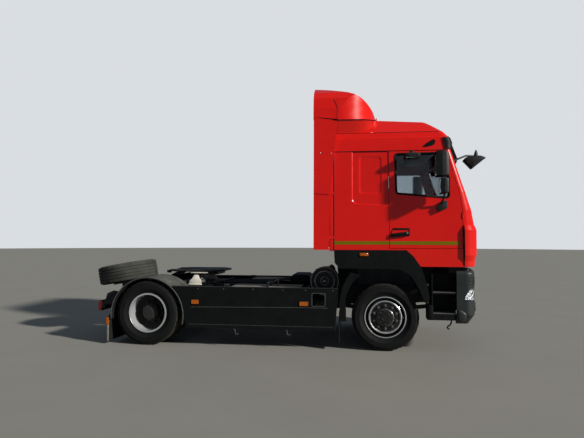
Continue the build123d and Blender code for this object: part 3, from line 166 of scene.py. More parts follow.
def make_finish(colour, rough=0.5, metal=0.0, coat=0.0, vary=0.1, vary_scale=5.0, grain=0.0,
                grain_scale=500.0, dust=0.0, dust_colour=(0.16, 0.15, 0.13), low=0.0, stretch=(1, 1, 1),
                gloss=0.3):
    """A surface that varies in tone and gloss, with grain, and dust on what faces up or lies low."""
    f = Finish()
    tone = f.ramp(f.noise(vary_scale, stretch=stretch), 0.3, 0.7)
    paint = f.mix(tone, scaled(colour, 1 - vary), scaled(colour, 1 + vary))
    roughness = f.ramp(f.noise(vary_scale * 3, 4), 0.3, 0.7, max(0.02, rough - 0.06), min(1.0, rough + 0.08))
    if dust or low:
        cloud = f.ramp(f.noise(7.0, 6, 0.65), 0.32, 0.72, 0.35, 1.0)
        up = f.axis("Z", f.node("ShaderNodeNewGeometry", {}).outputs["Normal"])
        top = f.combine("MULTIPLY", f.ramp(up, 0.35, 0.95, 0.0, dust), cloud)
        bottom = f.combine("MULTIPLY", f.ramp(f.axis("Z", f.place), 0.95, 0.15, 0.0, low), cloud)
        share = f.combine("MAXIMUM", top, bottom)
        paint = f.mix(share, paint, dust_colour)
        roughness = f.combine("ADD", roughness, f.combine("MULTIPLY", share, 0.5))
    f.surface(Base_Color=paint, Roughness=roughness, Metallic=metal, Specular_IOR_Level=gloss,
              Coat_Weight=coat, Coat_Roughness=0.06)
    if grain:
        f.surface(Normal=f.bump(f.noise(grain_scale, 2, 0.6), grain, 0.0012))
    return f


def make_glass(colour, rough=0.02):
    f = Finish()
    film = f.ramp(f.noise(3.0, 5, 0.6), 0.45, 0.8, 0.0, 0.08)
    f.surface(Base_Color=f.mix(film, colour, (0.5, 0.5, 0.48)), Roughness=f.combine("ADD", film, rough),
              Transmission_Weight=1.0, IOR=1.45)
    return f


def make_lens(colour, pitch=110.0):
    """A moulded lamp lens with fine ribs."""
    f = Finish()
    f.surface(Base_Color=f.mix(f.noise(9.0), scaled(colour, 0.85), colour),
              Normal=f.bump(f.waves("X", pitch), 0.35, 0.002),
              Roughness=f.ramp(f.noise(20.0), 0.3, 0.7, 0.12, 0.22), Transmission_Weight=0.25)
    return f


def make_fabric(colour):
    """Woven cloth: crossing threads with slight colour changes."""
    f = Finish()
    threads = [f.waves(direction, 260.0, Distortion=1.5) for direction in "XYZ"]
    weave = f.combine("ADD", f.combine("MULTIPLY", threads[0], threads[1]), threads[2])
    tone = f.mix(f.ramp(f.noise(30.0), 0.3, 0.7), scaled(colour, 0.75), scaled(colour, 1.25))
    f.surface(Base_Color=tone, Normal=f.bump(weave, 0.4, 0.001),
              Roughness=f.ramp(f.noise(50.0), 0.3, 0.7, 0.85, 0.95), Sheen_Weight=0.2)
    return f


def make_tyre_rubber():
    """Black rubber with grey-brown dust where the tyre meets the road, by the distance from its centre."""
    f = make_finish((0.006, 0.007, 0.0065), 0.68, vary=0.22, vary_scale=9, grain=0.25, grain_scale=300,
                    gloss=0.12)
    flat = f.node("ShaderNodeCombineXYZ", {"X": f.axis("X", f.place), "Z": f.axis("Z", f.place)})
    length = f.node("ShaderNodeVectorMath", {0: flat.outputs[0]}, operation="LENGTH")
    cloud = f.ramp(f.noise(10.0, 6, 0.7), 0.25, 0.75, 0.25, 1.0)
    share = f.combine("MULTIPLY", f.ramp(length.outputs["Value"], 0.466, 0.491, 0.0, 0.6), cloud)
    before = f.shader.inputs["Base Color"].links[0].from_socket
    f.surface(Base_Color=f.mix(share, before, (0.09, 0.08, 0.062)))
    return f


finishes = {
    "cab_red": make_finish((0.6, 0.006, 0.002), 0.24, coat=0.4, vary=0.04, vary_scale=1.6, dust=0.03,
                           low=0.03),
    "black_plastic": make_finish((0.004, 0.005, 0.0052), vary=0.25, grain=0.3, dust=0.06, low=0.01,
                                 gloss=0.12),
    "bumper_plastic": make_finish((0.017, 0.021, 0.0215), 0.42, vary=0.15, grain=0.35, dust=0.08, low=0.04,
                                  gloss=0.25),
    "guard_plastic": make_finish((0.01, 0.01, 0.01), 0.6, vary=0.2, grain=0.3, dust=0.85,
                                 dust_colour=(0.13, 0.135, 0.12), low=0.02, gloss=0.12),
    "frame_paint": make_finish((0.011, 0.011, 0.012), 0.42, vary=0.3, dust=0.35, low=0.06),
    "engine_paint": make_finish((0.07, 0.078, 0.085), vary=0.25, dust=0.3, grain=0.2, grain_scale=160),
    "axle_iron": make_finish((0.018, 0.018, 0.019), 0.6, metal=0.2, vary=0.3, dust=0.35, low=0.16, grain=0.5,
                             grain_scale=220),
    "spring_steel": make_finish((0.015, 0.014, 0.014), 0.55, metal=0.3, vary=0.4, dust=0.3, low=0.1,
                                stretch=(1, 1, 25)),
    "tank_metal": make_finish((0.42, 0.43, 0.45), 0.34, metal=0.85, vary=0.08, dust=0.35, low=0.2),
    "black_metal": make_finish((0.01, 0.01, 0.011), 0.4, vary=0.2, dust=0.25, low=0.04),
    "exhaust_metal": make_finish((0.2, 0.18, 0.16), metal=0.8, vary=0.35, vary_scale=9, dust=0.3, low=0.3),
    "primer_white": make_finish((0.7, 0.67, 0.58), vary=0.12, dust=0.15),
    "rubber": make_finish((0.006, 0.0065, 0.006), 0.7, vary=0.2, dust=0.2, low=0.05, grain=0.3,
                          grain_scale=200, gloss=0.12),
    "tyre": make_tyre_rubber(),
    "spare_tread": make_finish((0.036, 0.038, 0.033), 0.75, vary=0.3, vary_scale=6, grain=0.25,
                               grain_scale=300, dust=0.4, dust_colour=(0.12, 0.12, 0.1), gloss=0.12),
    "rim_silver": make_finish((0.5, 0.52, 0.53), 0.3, metal=0.5, vary=0.07, low=0.06),
    "rim_black": make_finish((0.009, 0.009, 0.0095), 0.34, vary=0.2, low=0.04),
    "bright_ring": make_finish((0.75, 0.76, 0.77), 0.2, metal=0.8, vary=0.05, low=0.04),
    "visor_plastic": make_finish((0.006, 0.008, 0.01), 0.2, coat=0.3, vary=0.1),
    "mirror_plastic": make_finish((0.013, 0.014, 0.015), 0.42, vary=0.15, grain=0.3, dust=0.08),
    "trim_plastic": make_finish((0.035, 0.035, 0.039), 0.6, vary=0.12, grain=0.35, grain_scale=400),
    "light_trim": make_finish((0.3, 0.29, 0.27), 0.75, vary=0.08, grain=0.3, grain_scale=350),
    "grille_silver": make_finish((0.42, 0.42, 0.43), 0.32, metal=0.4, vary=0.06, dust=0.1),
    "fifth_iron": make_finish((0.014, 0.0135, 0.013), 0.42, metal=0.3, vary=0.45, vary_scale=12, dust=0.18,
                              grain=0.4, grain_scale=120),
    "stripe": make_finish((0.14, 0.125, 0.001), 0.45, vary=0.08, low=0.02, gloss=0.15),
    "steel": make_finish((0.4, 0.4, 0.41), 0.36, metal=0.8, vary=0.2, vary_scale=30, dust=0.15),
    "dull_steel": make_finish((0.09, 0.09, 0.088), metal=0.4, vary=0.3, vary_scale=30, dust=0.2),
    "mirror_glass": make_finish((0.75, 0.78, 0.8), 0.04, metal=1.0, vary=0.02),
    "reflector": make_finish((0.85, 0.87, 0.9), 0.2, metal=0.7, vary=0.03),
    "hose_black": make_finish((0.012, 0.012, 0.013), 0.45, vary=0.15, dust=0.15, grain=0.2),
    "dusty_deck": make_finish((0.12, 0.115, 0.1), 0.75, vary=0.2, dust=0.7, dust_colour=(0.3, 0.275, 0.22)),
    # Lighter grey for edges, pressed lines and hooks on the dark plastics: painted highlight where they catch
    # the light.
    "edge_grey": make_finish((0.055, 0.06, 0.06), 0.45, vary=0.3, vary_scale=20, gloss=0.2),
    # Light grey on the flaps' rubber strips: painted sunlight on each flap's lit edge.
    "dusty_strip": make_finish((0.2, 0.19, 0.165), 0.8, vary=0.2, vary_scale=12),
    "plate_blank": make_finish((0.6, 0.6, 0.58), 0.4, vary=0.04, dust=0.1),
    "glass": make_glass((0.52, 0.58, 0.61)),
    "lamp_glass": make_glass((0.93, 0.95, 0.96), 0.01),
    "amber_lens": make_lens((0.55, 0.12, 0.004)),
    "red_lens": make_lens((0.16, 0.004, 0.004)),
    "seat_fabric": make_fabric((0.04, 0.042, 0.05)),
    "bedding": make_fabric((0.12, 0.12, 0.13)),
}
for name, finish in finishes.items():
    finish.material.name = name

slots = {entry["node"]: entry["material_slot"] for entry in frame["record"]["subparts"]}
for name, node in frame["nodes"].items():
    node.data.materials.clear()
    node.data.materials.append(finishes[slots[name]].material)


# Shapes
def turns(count, shift=0.0):
    """Angles spread evenly over a full turn."""
    return [2 * pi * (k + shift) / count for k in range(count)]


def even(start, end, count):
    """Numbers spread evenly from start to end."""
    return [start + (end - start) * k / (count - 1) for k in range(count)]


def square_to(along):
    """A direction square to another."""
    helper = Vector((0, 0, 1)) if abs(along.z) < 0.9 else Vector((1, 0, 0))
    return along.cross(helper).normalized()


class Shape:
    """Gathers forms into one mesh, which becomes a piece. Each form returns the shape."""

    def __init__(self):
        self.mesh = bmesh.new()

    def merge(self, other):
        """Takes in another bmesh and frees it."""
        passing = bpy.data.meshes.new("passing")
        other.to_mesh(passing)
        self.mesh.from_mesh(passing)
        bpy.data.meshes.remove(passing)
        other.free()
        return self

    def sheet(self, rows, ring=False, loop=False, ends=False):
        """Faces between rows of points. A ring joins the last row to the first, a loop joins a row's ends."""
        made = [self.mesh.verts.new(place(p)) for row in rows for p in row]
        count, width = len(rows), len(rows[0])
        for i in range(count if ring else count - 1):
            j = (i + 1) % count
            for k in range(width if loop else width - 1):
                m = (k + 1) % width
                corners = (i * width + k, i * width + m, j * width + m, j * width + k)
                self.mesh.faces.new([made[n] for n in corners])
        if ends:
            self.mesh.faces.new(made[:width][::-1])
            self.mesh.faces.new(made[-width:])
        return self

    def face(self, points):
        """One flat face."""
        self.mesh.faces.new([self.mesh.verts.new(place(p)) for p in points])
        return self

    def skin(self, rings, closed=False):
        """A solid through closed outlines, which has ends unless it closes on itself."""
        return self.sheet(rings, ring=closed, loop=True, ends=not closed)

    def block(self, low, high, bevel=0.004, segments=2, turn=None):
        """A box between two corners with rounded edges. With a turn, the corners are local."""
        if turn is None:
            low, high = place(low), place(high)
        low, high = Vector(map(min, low, high)), Vector(map(max, low, high))
        size = high - low
        part = bmesh.new()
        bmesh.ops.create_cube(part, size=1.0)
        for v in part.verts:
            v.co = Vector((low[i] + (v.co[i] + 0.5) * size[i] for i in range(3)))
        if bevel:
            bmesh.ops.bevel(part, geom=part.edges[:], offset=min(bevel, min(size) * 0.45), segments=segments,
                            affect="EDGES", profile=0.5)
        if turn:
            part.transform(turn)
        return self.merge(part)

    def tube(self, path, radius, sides=10, closed=False):
        """A round bar along points; radius is one number or a list with one for each point."""
        path = [place(p) for p in path]
        count = len(path)
        radii = radius if isinstance(radius, list) else [radius] * count
        rings = []
        normal = None
        for i, (p, r) in enumerate(zip(path, radii)):
            before = path[i - 1] if i or closed else p
            after = path[(i + 1) % count] if i < count - 1 or closed else p
            along = (after - before).normalized()
            if normal is None:
                normal = square_to(along)
            else:
                normal = (normal - along * normal.dot(along)).normalized()
            other = along.cross(normal)
            rings.append([p + (normal * cos(a) + other * sin(a)) * r for a in turns(sides)])
        return self.skin(rings, closed)

    def lathe(self, profile, centre, along, steps=96, closed=False, reach=None):
        """Turns (radius, place along the axis) points round an axis; reach changes a radius by its angle."""
        along = Vector(along).normalized()
        u = square_to(along)
        v = along.cross(u)
        centre = place(centre)
        rings = []
        for k, a in enumerate(turns(steps)):
            radii = [reach(n, k, r) if reach else r for n, (r, h) in enumerate(profile)]
            rings.append([centre + along * h + (u * cos(a) + v * sin(a)) * r
                          for r, (_, h) in zip(radii, profile)])
        return self.sheet(rings, ring=True, loop=closed)

    def plate(self, outline, axis, start, end, bevel=0.0):
        """An outline run from start to end along an axis; the outline gives the other two coordinates."""
        part = bmesh.new()

        def corner(a, b, depth):
            return place({"x": (depth, a, b), "y": (a, depth, b), "z": (a, b, depth)}[axis])

        first = [part.verts.new(corner(a, b, start)) for a, b in outline]
        second = [part.verts.new(corner(a, b, end)) for a, b in outline]
        part.faces.new(first)
        part.faces.new(second[::-1])
        for i in range(len(outline)):
            part.faces.new((first[i - 1], second[i - 1], second[i], first[i]))
        bmesh.ops.recalc_face_normals(part, faces=part.faces[:])
        if bevel:
            bmesh.ops.bevel(part, geom=part.edges[:], offset=bevel, segments=2, affect="EDGES", profile=0.5,
                            clamp_overlap=True)
        return self.merge(part)

    def nut(self, centre, along, across=0.03, height=0.02):
        """A hexagon nut with a short stud end."""
        r = across / 2 / cos(pi / 6)
        return self.lathe([(0, 0), (r * 1.25, 0), (r * 1.25, height * 0.15), (r, height * 0.2),
                           (r, height * 0.85), (r * 0.85, height), (r * 0.5, height),
                           (r * 0.5, height * 1.35), (0, height * 1.35)], centre, along, 6)

    def piece(self, name, body, slot, material=None, sharp=32, mirror=False):
        """Finishes the mesh as an object that rides on a body."""
        if mirror:
            twin = self.mesh.copy()
            bmesh.ops.scale(twin, vec=(1, -1, 1), verts=twin.verts)
            bmesh.ops.reverse_faces(twin, faces=twin.faces)
            self.merge(twin)
        bmesh.ops.remove_doubles(self.mesh, verts=self.mesh.verts, dist=0.00002)
        bmesh.ops.recalc_face_normals(self.mesh, faces=self.mesh.faces)
        for face in self.mesh.faces:
            face.smooth = True
        for edge in self.mesh.edges:
            edge.smooth = len(edge.link_faces) == 2 and edge.calc_face_angle(0) < radians(sharp)
        data = bpy.data.meshes.new(name)
        self.mesh.to_mesh(data)
        self.mesh.free()
        made = bpy.data.objects.new(name, data)
        bpy.context.scene.collection.objects.link(made)
        data.materials.append(finishes[material or slot].material)
        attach(made, body)
        return made


def rectangle(a0, a1, b0, b1):
    return [(a0, b0), (a1, b0), (a1, b1), (a0, b1)]


def rounded(outline, radius, steps=5):
    """An outline with its corners rounded."""
    made = []
    count = len(outline)
    for i in range(count):
        p = Vector(outline[i])
        before, after = Vector(outline[i - 1]), Vector(outline[(i + 1) % count])
        u, v = (before - p).normalized(), (after - p).normalized()
        reach = min(radius / tan(u.angle(v) / 2), (before - p).length * 0.45, (after - p).length * 0.45)
        for t in even(0, 1, steps + 1):
            a, b = p + u * reach, p + v * reach
            made.append(tuple((1 - t) ** 2 * a + 2 * t * (1 - t) * p + t * t * b))
    return made


def grown(outline, middle, share):
    """An outline made larger or smaller about a point."""
    return [tuple(m + (c - m) * share for c, m in zip(p, middle)) for p in outline]


# Wheels
bolt_radius = 0.1675
flange = [(0.2866, 0.1225), (0.2995, 0.1225), (0.3005, 0.126), (0.3, 0.1305), (0.2955, 0.1325),
          (0.288, 0.131)]


def tyre_profile():
    """Section of a tyre with its grooves: radius and place across."""
    outer = [
        (0.2895, 0.1135), (0.300, 0.1222), (0.305, 0.1285), (0.312, 0.1305), (0.319, 0.1275), (0.338, 0.139),
        (0.368, 0.1505), (0.373, 0.154), (0.379, 0.1525), (0.402, 0.1555), (0.428, 0.1518), (0.432, 0.1538),
        (0.438, 0.1502), (0.455, 0.1432), (0.468, 0.1382), (0.478, 0.1318), (0.4832, 0.1258),
    ]
    tread = []
    for middle in (0.078, 0.027, -0.027, -0.078):
        for offset, drop in ((0.006, 0.0), (0.0045, 0.013), (-0.0045, 0.013), (-0.006, 0.0)):
            y = middle + offset
            tread.append((0.490 - 0.0068 * (y / 0.1258) ** 2 - drop, y))
    return outer + tread + [(r, -h) for r, h in reversed(outer)]


def notched(n, k, r):
    """Cuts notches into the tread's shoulders, at every fourth step round the tyre."""
    shoulder = n in (15, 16, 33, 34)
    return r - 0.007 if shoulder and k % 4 == 0 else r


def make_tyre(name, centre, along, body, node):
    """A tyre whose own origin is at its centre, so that its finish follows its middle."""
    shape = Shape().lathe(tyre_profile(), Vector((0, 0, 0)), (0, 1, 0), 120, closed=True, reach=notched)
    made = shape.piece(name, body, "tyre", sharp=30)
    made.data.transform(Vector((0, 1, 0)).rotation_difference(Vector(along)).to_matrix().to_4x4())
    made.parent = None
    made.matrix_world = Matrix.Translation(centre)
    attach(made, body)
    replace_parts(made, node)
    return made


for name, side in sides:
    for tyre, x, y, body, node in (
            ("front_tyre_", 0, front_tyre_y, "wheel_front_", "tyre_front_"),
            ("rear_outer_tyre_", rear_axle_x, rear_outer_y, "wheels_rear_", "tyres_rear_"),
            ("rear_inner_tyre_", rear_axle_x, rear_inner_y, "wheels_rear_", "tyres_rear_")):
        make_tyre(tyre + name, at(x, side * y, axle_z), (0, side, 0), body + name, node + name)


def around(centre, out, radius, count, depth, shift=0.0):
    """Places spread evenly round a wheel's axis, each with its direction from the axis."""
    for a in turns(count, shift):
        radial = Vector((cos(a), 0, sin(a)))
        yield centre + radial * radius + out * depth, radial


def front_wheel(name, side):
    """Bright flange and disc rings, nuts and hub details of a front wheel."""
    centre, out = at(0, side * front_tyre_y, axle_z), Vector((0, side, 0))
    body = "wheel_front_" + name
    rings = Shape().lathe(flange + [(0.2835, 0.1265), (0.2835, 0.1225)], centre, out, closed=True)
    rings.lathe([(0.2405, 0.1182), (0.2365, 0.1212), (0.229, 0.1235), (0.2215, 0.1168), (0.2145, 0.1055),
                 (0.2125, 0.1035)], centre, out)
    rings.piece("front_wheel_rings_" + name, body, "rim_silver", "bright_ring")
    nuts = Shape()
    for spot, _ in around(centre, out, bolt_radius, 10, 0.1035, 0.5):
        nuts.nut(spot, out, 0.033, 0.026)
    for spot, _ in around(centre, out, 0.092, 8, 0.1515):
        nuts.nut(spot, out, 0.014, 0.007)
    nuts.piece("front_wheel_nuts_" + name, body, "rim_black", "dull_steel")
    hub = Shape().lathe([(0.119, 0.092), (0.1215, 0.1), (0.121, 0.141), (0.1185, 0.1475), (0.1065, 0.1535),
                         (0.074, 0.1535), (0.07, 0.159), (0.045, 0.161), (0.042, 0.1575), (0.0, 0.1575)],
                        centre, out, 64)
    hub.lathe([(0.213, 0.1042), (0.2, 0.1066), (0.19, 0.1042)], centre, out)
    hub.lathe([(0.2775, 0.0765), (0.262, 0.0935), (0.2408, 0.1186)], centre, out)
    for spot, radial in around(centre, out, 0.252, 10, 0.098):
        hub.lathe([(0.017, -0.004), (0.019, 0.002), (0.0155, 0.003), (0.0145, -0.012), (0, -0.012)], spot,
                  out * 0.8 + radial * 0.55, 20)
    hub.piece("front_wheel_hub_" + name, body, "rim_black")
    ring = Shape().lathe([(0.1195, 0.1425), (0.1225, 0.1405), (0.1225, 0.137), (0.1205, 0.1355)], centre, out,
                         64, closed=True)
    ring.piece("front_wheel_hub_ring_" + name, body, "rim_silver")
    valve = Shape().tube([centre + Vector((x, side * depth, 0)) for x, depth in
                          ((0.262, 0.08), (0.258, 0.125), (0.25, 0.135))], 0.0045, 8)
    valve.piece("front_wheel_valve_" + name, body, "rim_silver", "steel")


def rear_wheel(name, side):
    """Flange ring, dark disc face, nuts and hub of a twin rear wheel."""
    centre, out = at(rear_axle_x, side * rear_outer_y, axle_z), Vector((0, side, 0))
    body = "wheels_rear_" + name
    dish = Shape().lathe(flange + [(0.2795, 0.122), (0.2765, 0.1)], centre, out)
    dish.lathe([(0.2765, 0.12), (0.2762, 0.05), (0.2762, -0.085)], centre, out)
    dish.piece("rear_wheel_dish_" + name, body, "rim_silver")
    nuts = Shape()
    for spot, _ in around(centre, out, bolt_radius, 10, -0.158, 0.5):
        nuts.nut(spot, out, 0.033, 0.03)
    for spot, _ in around(centre, out, 0.1085, 12, 0.031):
        nuts.nut(spot, out, 0.016, 0.009)
    nuts.piece("rear_wheel_nuts_" + name, body, "rim_black", "axle_iron")
    hub = Shape().lathe([(0.150, -0.1615), (0.1515, -0.158), (0.1515, -0.112), (0.1275, -0.1015),
                         (0.1235, 0.0205), (0.1205, 0.0245), (0.1165, 0.0255), (0.1, 0.0395), (0.092, 0.0445),
                         (0.062, 0.0455), (0.056, 0.050), (0, 0.050)], centre, out, 64)
    hub.lathe([(0.2765, -0.071), (0.252, -0.0995), (0.206, -0.1575), (0.149, -0.1595)], centre, out)
    hub.piece("rear_wheel_hub_" + name, body, "rim_black", "axle_iron")


def spare_wheel():
    """The spare's tread, disc holes and clamp, tilted on the frame's rear."""
    up = Vector((-sin(radians(10)), 0, cos(radians(10))))
    centre = at(-4.362, -0.270, 1.048)
    tread = make_tyre("spare_tyre_tread", centre, up, "chassis", "spare_tyre")
    tread.data.materials[0] = finishes["spare_tread"].material
    turn = Vector((0, 0, 1)).rotation_difference(up).to_matrix()
    details = Shape().lathe(flange + [(0.2795, 0.122)], centre, up)
    for a in turns(10):
        spot = centre + turn @ Vector((cos(a) * bolt_radius, sin(a) * bolt_radius, 0.104))
        details.lathe([(0.0135, 0), (0.0155, 0.0012), (0.0125, 0.0014), (0.0115, -0.004), (0, -0.004)], spot,
                      up, 16)
    details.piece("spare_rim_details", "chassis", "rim_silver")
    clamp = Shape().tube([centre + up * -0.15, centre + up * 0.165], 0.012, 12)
    clamp.nut(centre + up * 0.13, up, 0.045, 0.03)
    clamp.block((-0.19, -0.03, 0.108), (0.19, 0.03, 0.128), turn=Matrix.Translation(centre) @ turn.to_4x4())
    clamp.piece("spare_wheel_clamp", "chassis", "frame_paint")


for name, side in sides:
    front_wheel(name, side)
    rear_wheel(name, side)
spare_wheel()


# Cab skin details
skin_rows = ((1.235, 1.268, 1.385), (1.83, 1.272, 1.388), (2.05, 1.232, 1.345), (2.3, 1.137, 1.247),
             (2.915, 0.905, 1.015))
skin_half_width = 1.11


def cab_surface_x(y, z):
    """Front of the cab's skin at y and z. A row above gives a height, the corner's x and the middle's x."""
    for low, high in zip(skin_rows, skin_rows[1:]):
        if z <= high[0]:
            break
    t = (z - low[0]) / (high[0] - low[0])
    corner, middle = (low[i] + (high[i] - low[i]) * t for i in (1, 2))
    bow = middle - corner
    r = (skin_half_width ** 2 + bow ** 2) / (2 * bow)
    return middle - r + max(r * r - y * y, 0) ** 0.5


def stripes(name, side):
    """The painted stripe along the cab and the door."""
    skin = side * half
    low, high = 1.548, 1.597
    for part, body, x0, x1 in (("cab", "cab", -0.735, 0.052), ("door", name + "_door", 0.07, 1.05)):
        stripe = Shape().block((x0, skin - 0.001, low), (x1, skin + side * 0.0012, high), 0)
        stripe.piece(f"stripe_{part}_{name}", body, "cab_red", "stripe")


def door_furniture(name, side):
    """Window rubber, handle in its cup, and lock."""
    body = name + "_door"
    skin = side * half
    rim = rounded([(0.160, 2.290), (0.905, 2.222), (0.905, 2.5), (0.800, 2.872), (0.147, 2.868)], 0.045, 6)
    centre = sum((Vector(p) for p in rim), Vector((0, 0))) / len(rim)
    rings = []
    for i, p in enumerate(rim):
        along = (Vector(rim[(i + 1) % len(rim)]) - Vector(rim[i - 1])).normalized()
        inward = Vector((-along.y, along.x))
        if inward.dot(centre - Vector(p)) < 0:
            inward = -inward
        section = ((-0.014, 0.0), (-0.012, 0.006), (0.0, 0.0065), (0.008, 0.002), (0.02, -0.026),
                   (0.02, -0.036), (0.0, -0.036))
        spots = [(Vector(p) + inward * across, depth) for across, depth in section]
        rings.append([(q.x, skin + side * depth, q.y) for q, depth in spots])
    Shape().skin(rings, closed=True).piece("window_seal_" + name, body, "rubber")
    cup = rounded([(0.082, 1.668), (0.345, 1.672), (0.35, 1.782), (0.115, 1.79), (0.082, 1.73)], 0.014, 4)
    cup_in = rounded([(0.094, 1.679), (0.335, 1.683), (0.339, 1.771), (0.12, 1.778), (0.094, 1.727)],
                     0.012, 4)
    proud = skin + side * 0.004
    handle = Shape().skin([[(ax, skin, az), (ax, proud, az), (bx, proud, bz), (bx, skin - side * 0.001, bz)]
                           for (ax, az), (bx, bz) in zip(cup, cup_in)], closed=True)
    handle.plate(rounded([(0.076, 1.652), (0.29, 1.676), (0.342, 1.69), (0.342, 1.738), (0.3, 1.735),
                          (0.082, 1.708)], 0.012, 4), "y", skin + side * 0.003, skin + side * 0.031, 0.005)
    handle.plate(rounded([(0.118, 1.764), (0.343, 1.764), (0.343, 1.79), (0.118, 1.786)], 0.006, 3), "y",
                 skin - side * 0.0005, skin + side * 0.007, 0.002)
    handle.piece("door_handle_" + name, body, "black_plastic")
    lock = Shape().lathe([(0.0, 0.004), (0.009, 0.004), (0.0125, 0.003), (0.0135, 0.0), (0.0135, -0.004)],
                         (0.313, skin + side * 0.0315, 1.716), (0, side, 0), 24)
    lock.block((0.3115, skin + side * 0.0325, 1.709), (0.3145, skin + side * 0.037, 1.723), 0.0008)
    lock.piece("door_lock_" + name, body, "black_plastic", "steel")


def roof_side(z):
    """Half width of the roof, which leans in above the seam."""
    if z < 3.05:
        return half - max(0, z - 2.915) * 0.014 / 0.135
    return half - 0.014 - (z - 3.05) * 0.008 / 0.058


def roof_vent(name, side):
    vent = [(0.527, 2.959), (0.600, 3.022), (0.677, 3.069), (0.708, 3.07), (0.718, 3.05), (0.711, 3.006),
            (0.688, 2.985), (0.614, 2.966)]
    middle = (0.645, 3.015)

    def out(x, z, depth, at_z=None):
        return x, side * (roof_side(at_z or z) + depth), z

    outer = rounded(vent, 0.012, 3)
    shape = Shape().skin([[out(x, z, 0), out(x, z, 0.005), out(a, b, 0.005, z), out(a, b, 0.001, z)]
                          for (x, z), (a, b) in zip(outer, grown(outer, middle, 0.88))], closed=True)
    shape.face([out(x, z, 0.0015) for x, z in grown(vent, middle, 0.9)])
    for k in range(4):
        t = (k + 1) / 5
        shape.tube([out(0.56 + 0.14 * t, 2.97 + 0.012 * k, 0.003),
                    out(0.585 + 0.125 * t, 3.0 + 0.056 * t, 0.003)], 0.0035, 8)
    shape.piece("roof_vent_" + name, "cab", "black_plastic")


def arch_ribs(name, side):
    """Two ribs along the wheel arch. Both pieces lie at the left moulding, one proud of it and one inside."""
    inner = [(-0.735, 1.352), (0.2, 1.358), (0.272, 1.352), (0.335, 1.312), (0.44, 1.14), (0.523, 0.95),
             (0.567, 0.79)]
    outer = [(-0.733, 1.458), (0.232, 1.459), (0.31, 1.44), (0.372, 1.378), (0.47, 1.22), (0.54, 1.06),
             (0.575, 0.93), (0.598, 0.80)]
    ribs = Shape()
    for line, width in ((inner, 0.007), (outer, 0.009)):
        ribs.tube([(x, half + side * 0.016, z) for x, z in line], width, 8)
    # The ribs take the lighter bumper plastic instead of the moulding's black: painted highlight along them.
    ribs.piece("arch_ribs_" + name, "cab", "black_plastic", "bumper_plastic")


def deflector_screws(name, side):
    screws = Shape()
    for x, z in ((-0.936, 2.898), (-0.777, 2.89)):
        screws.lathe([(0, 0.0035), (0.006, 0.003), (0.009, 0.0005), (0.009, -0.001)],
                     (x, side * (half + 0.033), z), (0, side, 0), 16)
    screws.piece("deflector_screws_" + name, "cab", "cab_red", "steel")


for name, side in sides:
    stripes(name, side)
    door_furniture(name, side)
    roof_vent(name, side)
    arch_ribs(name, side)
    deflector_screws(name, side)


# Front of the cab
def grille():
    section = ((-0.01, -0.021), (0.002, -0.019), (0.011, -0.008), (0.012, 0.004), (0.006, 0.017),
               (-0.01, 0.02))
    bars = Shape()
    for row in range(6):
        z = 1.365 + row * 0.091
        bars.skin([[(cab_surface_x(y, z) + dx, y, z + dz) for dx, dz in section]
                   for y in even(-0.70, 0.70, 25)])
    bars.piece("grille_bars", "flap", "grille_silver")
    mesh = Shape().sheet([[(cab_surface_x(y, z) - 0.034, y, z) for y in even(-0.775, 0.775, 21)]
                          for z in (1.352, 1.835)])
    mesh.piece("grille_mesh", "flap", "black_plastic")
    for name, side in sides:
        rings = []
        for k in range(9):
            z = 1.39 + 0.45 * k / 8
            inner, outer = side * (0.885 + 0.012 * k / 8), side * 0.945
            section = ((inner, -0.002), (inner, 0.003), ((inner + outer) / 2, 0.0035), (outer, 0.003),
                       (outer, -0.002))
            rings.append([(cab_surface_x(abs(y), z) + d, y, z) for y, d in section])
        Shape().skin(rings).piece("flap_air_slot_" + name, "flap", "black_plastic")


def wipers():
    shape = Shape()
    for pivot_y, tip_y in ((0.55, -0.12), (-0.25, -0.88), (0.98, 0.62)):
        pivot_z, tip_z = 2.195, 2.35
        foot = at(cab_surface_x(pivot_y, pivot_z) + 0.012, pivot_y, pivot_z)
        shape.lathe([(0.0, 0.035), (0.014, 0.035), (0.02, 0.03), (0.022, 0.0), (0.0, 0.0)],
                    foot - Vector((0.012, 0, 0)), (1, 0, 0.3), 16)
        tip = at(cab_surface_x(tip_y, tip_z) + 0.03, tip_y, tip_z)
        middle = (foot + tip) / 2 + Vector((0.035, 0, 0.02))
        shape.tube([foot + Vector((0.018, 0, 0.004)), middle, tip], [0.011, 0.008, 0.006], 8)
        reach = 0.33 if tip_y < pivot_y else -0.33
        blade = []
        for t in even(0, 1, 13):
            y, z = tip_y + reach * (2 * t - 1), 2.262 + 0.10 * t
            blade.append((cab_surface_x(min(abs(y), 1.08), z) + 0.014, max(-1.06, min(1.06, y)), z))
        shape.tube(blade, 0.008, 8)
    shape.piece("wipers", "cab", "black_plastic")


def windscreen_seal():
    screen = rounded([(-1.105, 2.215), (1.105, 2.215), (1.07, 2.872), (-1.07, 2.872)], 0.07, 8)
    section = ((-0.018, 0.001), (-0.012, 0.006), (0.006, 0.006), (0.02, -0.003), (0.022, -0.014),
               (-0.01, -0.012))
    longest = 0.08
    rings = []
    for i, (y0, z0) in enumerate(screen):
        y1, z1 = screen[(i + 1) % len(screen)]
        steps = max(1, int(hypot(y1 - y0, z1 - z0) / longest))
        for t in even(0, 1, steps + 1)[:-1]:
            y, z = y0 + (y1 - y0) * t, z0 + (z1 - z0) * t
            inward = Vector((0, -y * 0.03, (2.54 - z) * 0.07)).normalized()
            base = at(cab_surface_x(min(abs(y), 1.1), z), y, z)
            rings.append([base + inward * a + Vector((b, 0, 0)) for a, b in section])
    Shape().skin(rings, closed=True).piece("windscreen_seal", "cab", "rubber")


grille()
wipers()
windscreen_seal()

# Mirrors: each place is a housing's rear and front x, and its lowest and highest z
mirror_width = 0.205
mirror_places = ((0.688, 0.862, 2.502, 2.852), (0.744, 0.86, 2.265, 2.478))


